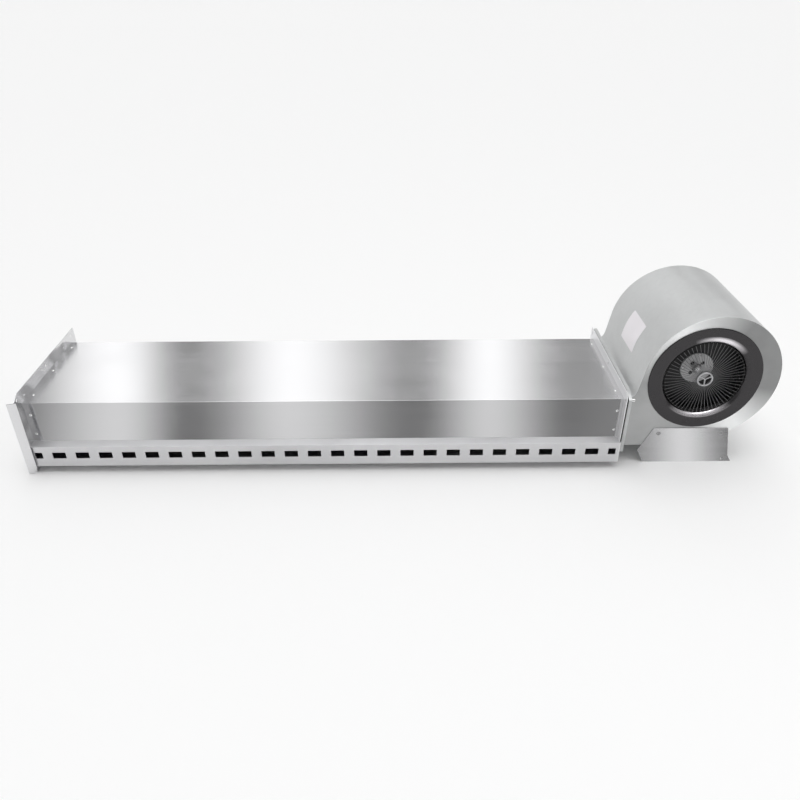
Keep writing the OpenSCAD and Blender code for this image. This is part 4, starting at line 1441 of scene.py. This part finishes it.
@dataclass
class BlowerCasing(UnitSizes):
    """The scroll casing: rolled wrapper, two side plates and a blank label."""

    main_r: float = 168.0
    main_shift: float = 17.0
    bend_r: float = 26.0
    low_turn: float = 45.0
    lip_outer: float = 114.0
    edge_r: float = 0.5
    label_front: float = 114.0
    label_len: float = 100.0
    label_start: float = 148.0
    label_tail: float = 15.0
    label_t: float = 0.25
    label_gap: float = 0.05
    label_corner_r: float = 3.0

    def curves(self) -> tuple[Pair, Pair, float, Pair, float]:
        """Works out the casing's arcs.

        Returns:
            The main centre, the lower centre and radius, the bend's centre, and the slope's angle.
        """
        main = (self.fan_x + self.main_shift, self.fan_z - 1)
        a = math.radians(self.low_turn)
        low_r = (main[1] + self.outlet_h - self.main_r * math.sin(a)) / (1 - math.sin(a))
        low = (main[0] + (self.main_r - low_r) * math.cos(a), main[1] - (self.main_r - low_r) * math.sin(a))
        bend = (self.flange_x, self.bend_r)
        dx, dz = main[0] - bend[0], main[1] - bend[1]
        lean = math.degrees(math.atan2(dz, dx) - math.acos((self.bend_r + self.main_r) / math.hypot(dx, dz)))
        return main, low, low_r, bend, lean

    def rolled(self, name: str, y0: float, y1: float) -> SheetBench:
        """Rolls the wrapper's outline as one sheet between two depths.

        Args:
            name: The piece's name.
            y0: The front depth.
            y1: The back depth.

        Returns:
            The bench with the sheet, still in edit mode.
        """
        main, low, low_r, bend, lean = self.curves()
        bench = SheetBench(name, (self.flange_x, y0, -self.outlet_h), (self.flange_x, y1, -self.outlet_h))
        bench.push(x=low[0] - self.flange_x)
        bench.roll(low, 90 - self.low_turn, 14)
        bench.roll(main, lean + 180 + self.low_turn, 72)
        start, end = turn(self.main_r, lean + 180, main), turn(self.bend_r, lean, bend)
        bench.push(x=end[0] - start[0], z=end[1] - start[1])
        bench.roll(bend, -90 - lean, 10)
        return bench

    def build(self) -> None:
        """Builds and dresses the casing."""
        wrapper = self.rolled("scroll_skin", self.sheet, self.depth - self.sheet)
        hand_over(wrapper.sheet(self.sheet, DOWN, self.edge_r), ZINC, "scroll_wrapper")
        front = self.side_plate("front_cheek", 0)
        drill(front, [(self.fan_x, -2, self.fan_z)], Axis.Y, self.lip_outer, 5)
        hand_over(soften(front, self.edge_r, 2, 60), CHEEK, "front_side_plate")
        back = self.side_plate("back_cheek", self.depth - self.sheet)
        hand_over(soften(back, self.edge_r, 2, 60), ZINC, "back_side_plate")
        self.label()

    def side_plate(self, name: str, y: float) -> Piece:
        """Fills the casing's outline with a flat sheet at one depth.

        Args:
            name: The piece's name.
            y: The depth of its front face.

        Returns:
            The plate.
        """
        bench = self.rolled(name, y, y + self.sheet)
        pick(bench.piece, "VERT", lying(y=y + self.sheet))
        bpy.ops.mesh.delete(type="VERT")
        bpy.ops.mesh.select_all(action="SELECT")
        bpy.ops.mesh.remove_doubles(threshold=MERGE_GAP * MM)
        bpy.ops.mesh.edge_face_add()
        return bench.sheet(self.sheet, FRONT, 0)

    def label(self) -> None:
        """Lays a blank label with rounded corners on the wrapper's curve and down its slope."""
        main, *_, lean = self.curves()
        r, end = self.main_r + self.label_t + self.label_gap, lean + 180
        (x0, z0), (x1, z1) = turn(r, self.label_start, main), turn(r, end, main)
        away = turn(self.label_tail, end + 90, (0, 0))
        rows = (self.label_front, self.label_front + self.label_len)
        bench = SheetBench("blank_label", (x0, rows[0], z0), (x0, rows[1], z0))
        bench.roll(main, end - self.label_start, 14)
        bench.push(x=away[0], z=away[1])
        corners = [Vector((x, y, z)) for x, z in ((x0, z0), (x1 + away[0], z1 + away[1])) for y in rows]
        bench.clip_corner(lambda v: any((measure(v.co) - corner).length < 0.5 for corner in corners),
                          self.label_corner_r, 4)
        hand_over(bench.sheet(self.label_t, Vector((-1, 0, 0.5)), 0), LABEL_FILM, "label_plate")


@dataclass
class AirInlet(UnitSizes):
    """The spun inlet ring and the wire guard in its throat."""

    ring_r: float = 139.0
    ring_t: float = 3.0
    inlet_r: float = 98.0
    lip_r: float = 14.0
    throat: float = 9.0
    wire_count: int = 60
    wire_r: float = 0.7
    wire_tuck: float = 1.5
    wire_over: float = 1.0
    guard_y: float = 2.0
    rim_r: float = 96.5
    rim_wire_r: float = 1.25
    wire_cuts: Sequence[float] = (0.25, 0.5, 0.75, 0.9)
    wire_dips: Sequence[Pair] = ((0.0, 0.5), (0.9, 0.1), (1.0, 0.7))
    hub_r: float = 20.0
    hub_w: float = 4.5
    hub_t: float = 5.0

    def build(self) -> None:
        """Builds and dresses the inlet."""
        self.ring()
        self.rim()
        self.wires()
        self.hub()

    def ring(self) -> None:
        """Spins the flat ring, its rolled lip and the throat from one profile."""
        depth = self.lip_r - self.ring_t
        middle = (self.inlet_r + self.lip_r, depth)
        outer = arc(middle, self.lip_r, 270, 180, 14)
        inner = arc(middle, self.lip_r - self.ring_t, 180, 270, 12)
        edge = [(self.ring_r, 0.0), (self.ring_r, -1.6), (self.ring_r - 0.5, -2.5),
                (self.ring_r - 1.5, -self.ring_t)]
        end = depth + self.throat
        profile = [*edge, *outer, (self.inlet_r, end), (self.inlet_r + self.ring_t, end), *inner, edge[0]]
        piece = lathe("inlet_spinning", profile, FAN_AXIS, steps=128)
        hand_over(piece, RING_METAL, "inlet_ring")

    def rim(self) -> None:
        """Bends the guard's rim from round wire."""
        y = self.guard_y + 2 * self.wire_r + self.rim_wire_r
        section = arc((self.rim_r, y), self.rim_wire_r, 0, 360, 12)
        piece = lathe("guard_hoop", section, FAN_AXIS, steps=96)
        hand_over(piece, GUARD_RIM_SHADED, "guard_rim")

    def wires(self) -> None:
        """Draws one radial wire, dips it at the rim and copies it round the guard."""
        start, end = self.hub_r - self.wire_tuck, self.rim_r + self.wire_over
        y = self.guard_y + self.wire_r
        wire = new_bar("wire", (self.fan_x + start, y, self.fan_z), Axis.X, end - start, self.wire_r, 8)
        open_mesh(wire)
        for share in self.wire_cuts:
            bpy.ops.mesh.select_all(action="SELECT")
            cut_x = self.fan_x + start + (end - start) * share
            bpy.ops.mesh.bisect(plane_co=at(cut_x, 0, 0), plane_no=RIGHT)
        for share, dip in self.wire_dips:
            pick(wire, "VERT", lying(0.2, x=self.fan_x + start + (end - start) * share))
            bpy.ops.transform.translate(value=(0, dip * MM, 0))
        clear_bench()
        spins = [spun(i / self.wire_count) for i in range(self.wire_count)]
        hand_over(copies("guard_spokes", wire, spins), GUARD_WIRE, "guard_wires")

    def hub(self) -> None:
        """Presses the centre ring with its three openings."""
        front = self.guard_y + self.wire_r - self.hub_t
        back = front + self.hub_t
        r, w = self.hub_r, self.hub_w
        profile = [(r - w, back), (r - w, front + 1.0), (r - w + 1.0, front), (r - 1.2, front),
                   (r, front + 1.4), (r, back), (r - w, back)]
        ring = lathe("guard_boss", profile, FAN_AXIS, steps=64)
        spokes = []
        for i in range(3):
            bar = new_block("spoke", (self.fan_x - w / 3, front + 0.6, self.fan_z - r + w / 2),
                            (self.fan_x + w / 3, back, self.fan_z))
            bar.matrix_world = spun(i / 3)
            spokes.append(soften(settle(bar), 0.6))
        hand_over(join("guard_boss", [ring, *spokes]), GUARD_CENTRE_LIT, "guard_hub")


@dataclass
class FanWheel(UnitSizes):
    """The wheel with its curved blades, disc and bright hub."""

    radius: float = 114.0
    blade_in: float = 101.0
    front_y: float = 24.0
    ring_t: float = 3.0
    blade_len: float = 220.0
    blade_count: int = 44
    blade_t: float = 0.8
    blade_seat: float = 0.3
    blade_gap: float = 1.1
    blade_steps: Sequence[float] = (0, 0.2, 0.4, 0.6, 0.8, 1.0)
    disc_y: float = 60.0
    hub_r: float = 42.0
    hub_t: float = 3.0
    sleeve_r: float = 11.0
    sleeve_len: float = 12.0
    bore_r: float = 6.0
    hole_r: float = 5.0
    hole_ring: float = 0.45
    rivet_ring: float = 0.8

    def build(self) -> None:
        """Builds and dresses the wheel."""
        self.rings()
        self.blades()
        self.hub()
        dress(WHEEL_PAINT, "wheel_disc")
        dress(BLACK_STEEL, "hub_set_screw")
        dress(GROUND, "motor_shaft")
        dress(CORE_STEEL, "rotor_core")

    def rings(self) -> None:
        """Rolls the two end rings with rounded edges."""
        back_y = self.front_y + self.ring_t + self.blade_len
        for name, node, y in (("wheel_hoop_front", "wheel_front_ring", self.front_y),
                              ("wheel_hoop_back", "wheel_back_ring", back_y)):
            t, r0, r1 = self.ring_t, self.blade_in, self.radius
            profile = [(r0, y), (r1, y), (r1, y + t), (r0, y + t), (r0, y)]
            hoop = soften(lathe(name, profile, FAN_AXIS, steps=96), 0.8)
            hand_over(hoop, WHEEL_PAINT, node, body=Body.WHEEL)

    def blades(self) -> None:
        """Curves one forward-swept blade and copies it round the wheel."""
        y0 = self.front_y + self.ring_t
        depth = self.radius - self.blade_in
        hook = depth / 2
        x = self.fan_x + self.blade_in + self.blade_seat
        bench = SheetBench("blade", (x, y0, self.fan_z), (x, y0 + self.blade_len, self.fan_z))
        reach = depth - self.blade_gap
        for a, b in zip(self.blade_steps, self.blade_steps[1:]):
            bench.push(x=reach * (b - a), z=-hook * (b ** 2 - a ** 2))
        blade = bench.sheet(self.blade_t, DOWN, 0)
        spins = [spun(i / self.blade_count) for i in range(self.blade_count)]
        hand_over(copies("wheel_vanes", blade, spins), WHEEL_PAINT, "wheel_blades", body=Body.WHEEL)

    def hub(self) -> None:
        """Turns the stepped hub plate and sleeve, and drills the cooling holes."""
        back, face = self.disc_y, self.disc_y - self.hub_t
        tip = face - self.sleeve_len
        bore, sleeve, rim = self.bore_r, self.sleeve_r, self.hub_r
        profile = [(bore, back), (bore, tip + 0.8), (bore + 0.8, tip), (sleeve - 1, tip), (sleeve, tip + 1),
                   (sleeve, face - 1.5), (sleeve + 1.5, face), (rim - 1.2, face), (rim, face + 1.2),
                   (rim, back), (bore, back)]
        piece = lathe("hub_plate", profile, FAN_AXIS, steps=72)
        holes = [turn(self.hub_r * self.hole_ring, 45 + 90 * i, (self.fan_x, self.fan_z)) for i in range(4)]
        drill(piece, [(x, face - 2, z) for x, z in holes], Axis.Y, self.hole_r, self.hub_t + 4)
        hand_over(soften(piece, 0.3, 1, 60), DULL_STEEL, "wheel_hub", body=Body.WHEEL)
        spots = [turn(self.hub_r * self.rivet_ring, 90 * i, (self.fan_x, self.fan_z)) for i in range(4)]
        places = [stand_at((x, face, z), FRONT) for x, z in spots]
        fasten("hub_rivet_heads", Fastener.BLIND_RIVET, places, BRIGHT, "hub_rivets", Body.WHEEL)


@dataclass
class MotorDrive:
    """The motor inside the wheel, on rubber dampers: solids with their finishes."""

    def build(self) -> None:
        """Dresses the motor's solids."""
        finishes = {
            GROUND: ("front_bearing", "rear_bearing"),
            MOTOR_PAINT: ("motor_shell", "motor_front_cover", "motor_rear_cover"),
            CORE_STEEL: ("stator_core",),
            COPPER: ("stator_windings",),
            ZINC: ("motor_mount_plate",),
            BRIGHT: ("motor_screws", "mount_bolts"),
            RUBBER: ("motor_dampers", "motor_lead", "lead_grommet"),
        }
        for finish, nodes in finishes.items():
            dress(finish, *nodes)


@dataclass
class TerminalBox:
    """The moulded box on the casing's back, with its lid, screws and gland."""

    box_edge: float = 1.2
    gland_edge: float = 0.5
    screw_scale: float = 0.51
    inset: float = 5.0

    def build(self) -> None:
        """Builds and dresses the box."""
        refine("terminal_box", "box_shell", GREY_PLASTIC, self.box_edge, 3)
        refine("terminal_lid", "box_lid", GREY_PLASTIC, self.box_edge, 3)
        self.screws()
        dress(DARK_PLASTIC, "terminal_block")
        dress(GREY_PLASTIC, "run_capacitor")
        refine("cable_gland", "gland_body", DARK_PLASTIC, self.gland_edge)

    def screws(self) -> None:
        """Sets cross-headed screws in the lid's corners."""
        low, high = (measure(corner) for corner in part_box("terminal_lid"))
        xs, zs = (low.x + self.inset, high.x - self.inset), (low.z + self.inset, high.z - self.inset)
        places = [stand_at((x, high.y, z), BACK) for x in xs for z in zs]
        fasten("lid_screw_heads", Fastener.PAN_SCREW, places, BRIGHT, "lid_screws", scale=self.screw_scale)


@dataclass
class FootBrackets:
    """The two folded brackets that the blower stands on."""

    edge: float = 0.35

    def build(self) -> None:
        """Builds and dresses both brackets and their screws."""
        refine("front_foot", "front_bracket", FOOT_SHEET, self.edge)
        refine("rear_foot", "rear_bracket", FOOT_SHEET, self.edge)
        low, high = (measure(corner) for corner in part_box("foot_screws"))
        head = SHOP.screw_r
        z = (low.z + high.z) / 2
        places = []
        for x in (low.x + head, high.x - head):
            places.append(stand_at((x, low.y + SHOP.screw_h, z), FRONT))
            places.append(stand_at((x, high.y - SHOP.screw_h, z), BACK))
        fasten("bracket_screw_heads", Fastener.PAN_SCREW, places, DULL_STEEL, "foot_screws")


# The room, and the order of work


@dataclass
class Studio:
    """The camera, the pale floor and the soft lights."""

    camera_place: Point = (179.75, -1535.89, 953.16)
    yaw: float = 0.38
    pitch: float = 31.79
    roll: float = -0.22
    focal_px: float = 725.1
    picture_px: float = 800.0
    sensor: float = 36.0
    floor_half: float = 40.0
    wall_span: float = 0.7
    near_wall: float = 0.62
    ceiling: float = 2.4
    backdrop: float = 0.93
    depth_fade: Pair = (-0.35, 0.35)
    ceiling_fade: Pair = (0.86, 0.97)
    paper: float = 0.97
    paper_rough: float = 0.9
    lamps: tuple[tuple[str, Point, Point, float, float], ...] = (
        ("key", (-900, -1500, 2400), (300, 100, 0), 1800, 2),
        ("fill", (1900, -900, 1900), (700, 100, 0), 900, 3))
    walls: tuple[Pair, ...] = (
        (-0.66, 0.8), (-0.49, 0.20), (-0.354, 1.34), (-0.276, 0.26), (-0.144, 1.26), (0.030, 0.28),
        (0.128, 1.28), (0.233, 0.28), (0.275, 0.36), (0.32, 0.45), (0.37, 1.6), (0.415, 0.2), (0.55, 0.7))

    def build(self) -> None:
        """Sets up the camera, floor, sky and lights."""
        self.camera()
        self.floor()
        self.sky()
        for values in self.lamps:
            self.lamp(*values)
        bpy.context.scene.view_settings.view_transform = "Standard"

    def camera(self) -> None:
        """Places the camera by its measured place and turn."""
        lens = bpy.data.cameras.new("view")
        lens.sensor_width = self.sensor
        lens.lens = self.focal_px / self.picture_px * self.sensor
        camera = bpy.data.objects.new("view", lens)
        bpy.context.scene.collection.objects.link(camera)
        yaw, pitch, roll = (math.radians(a) for a in (self.yaw, self.pitch, self.roll))
        ahead = Vector((math.sin(yaw) * math.cos(pitch), math.cos(yaw) * math.cos(pitch), -math.sin(pitch)))
        side = Vector((math.cos(yaw), -math.sin(yaw), 0))
        top = side.cross(ahead)
        right = side * math.cos(roll) + top * math.sin(roll)
        up = top * math.cos(roll) - side * math.sin(roll)
        matrix = Matrix((right, up, -ahead)).transposed().to_4x4()
        matrix.translation = at(*self.camera_place)
        camera.matrix_world = matrix
        bpy.context.scene.camera = camera

    def floor(self) -> None:
        """Lays the pale floor under the feet."""
        clear_bench()
        bpy.ops.mesh.primitive_plane_add(size=2 * self.floor_half, location=(0, 0, 0))
        floor = bpy.context.object
        floor.name = "floor"
        made = bpy.data.materials.new("floor paper")
        made.use_nodes = True
        shader = made.node_tree.nodes["Principled BSDF"]
        shader.inputs["Base Color"].default_value = (self.paper, self.paper, self.paper, 1)
        shader.inputs["Roughness"].default_value = self.paper_rough
        floor.data.materials.append(made)

    def sky(self) -> None:
        """Surrounds the scene with a soft room: walls that change along its length under a bright ceiling.

        Only reflections and light come from the room; behind the object there is a plain backdrop.
        """
        world = bpy.data.worlds.new("room")
        bpy.context.scene.world = world
        world.use_nodes = True
        world.node_tree.nodes.clear()
        tree = Tree(world.node_tree)
        place = tree.add("ShaderNodeTexCoord")
        way = tree.add("ShaderNodeSeparateXYZ", {"Vector": place.outputs["Generated"]})
        ramp = tree.add("ShaderNodeValToRGB", {
            "Fac": tree.spread(way.outputs["X"], 0.0, 1.0, (-self.wall_span, self.wall_span))})
        ramp.color_ramp.interpolation = "EASE"
        stops = ramp.color_ramp.elements
        while len(stops) < len(self.walls):
            stops.new(0.5)
        for stop, (x, value) in zip(stops, self.walls):
            stop.position = 0.5 + x / self.wall_span / 2
            stop.color = (value, value, value, 1)
        depth = tree.spread(way.outputs["Y"], self.near_wall, 1.0, self.depth_fade)
        walls = tree.times(ramp.outputs["Color"], depth)
        ceiling = tree.spread(way.outputs["Z"], 0.0, self.ceiling, self.ceiling_fade)
        room, plain = (tree.add("ShaderNodeBackground", {"Color": (1, 1, 1, 1), "Strength": strength})
                       for strength in (tree.sum(walls, ceiling), self.backdrop))
        seen = tree.add("ShaderNodeLightPath").outputs["Is Camera Ray"]
        mixed = tree.add("ShaderNodeMixShader", {
            0: seen, 1: room.outputs["Background"], 2: plain.outputs["Background"]})
        tree.add("ShaderNodeOutputWorld", {"Surface": mixed.outputs["Shader"]})

    def lamp(self, name: str, place: Point, aim: Point, width: float, power: float) -> None:
        """Hangs one square soft lamp.

        Args:
            name: The lamp's name.
            place: Where it hangs, in duct measures.
            aim: What it faces, in duct measures.
            width: Its side in millimetres.
            power: Its power in watts.
        """
        light = bpy.data.lights.new(name, "AREA")
        light.size = width * MM
        light.energy = power
        lamp = bpy.data.objects.new(name, light)
        bpy.context.scene.collection.objects.link(lamp)
        lamp.location = at(*place)
        lamp.rotation_euler = (at(*aim) - at(*place)).to_track_quat("-Z", "Y").to_euler()


def main() -> None:
    """Builds the scene in order."""
    logging.basicConfig(level=logging.INFO, format="%(message)s")
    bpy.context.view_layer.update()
    Studio().build()
    for part in (AirDuct(), EndPlates(), OutletJoint(), BlowerCasing(), AirInlet(), FanWheel(), MotorDrive(),
                 TerminalBox(), FootBrackets()):
        LOG.info("building %s", type(part).__name__)
        part.build()
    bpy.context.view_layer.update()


if __name__ == "__main__":
    main()
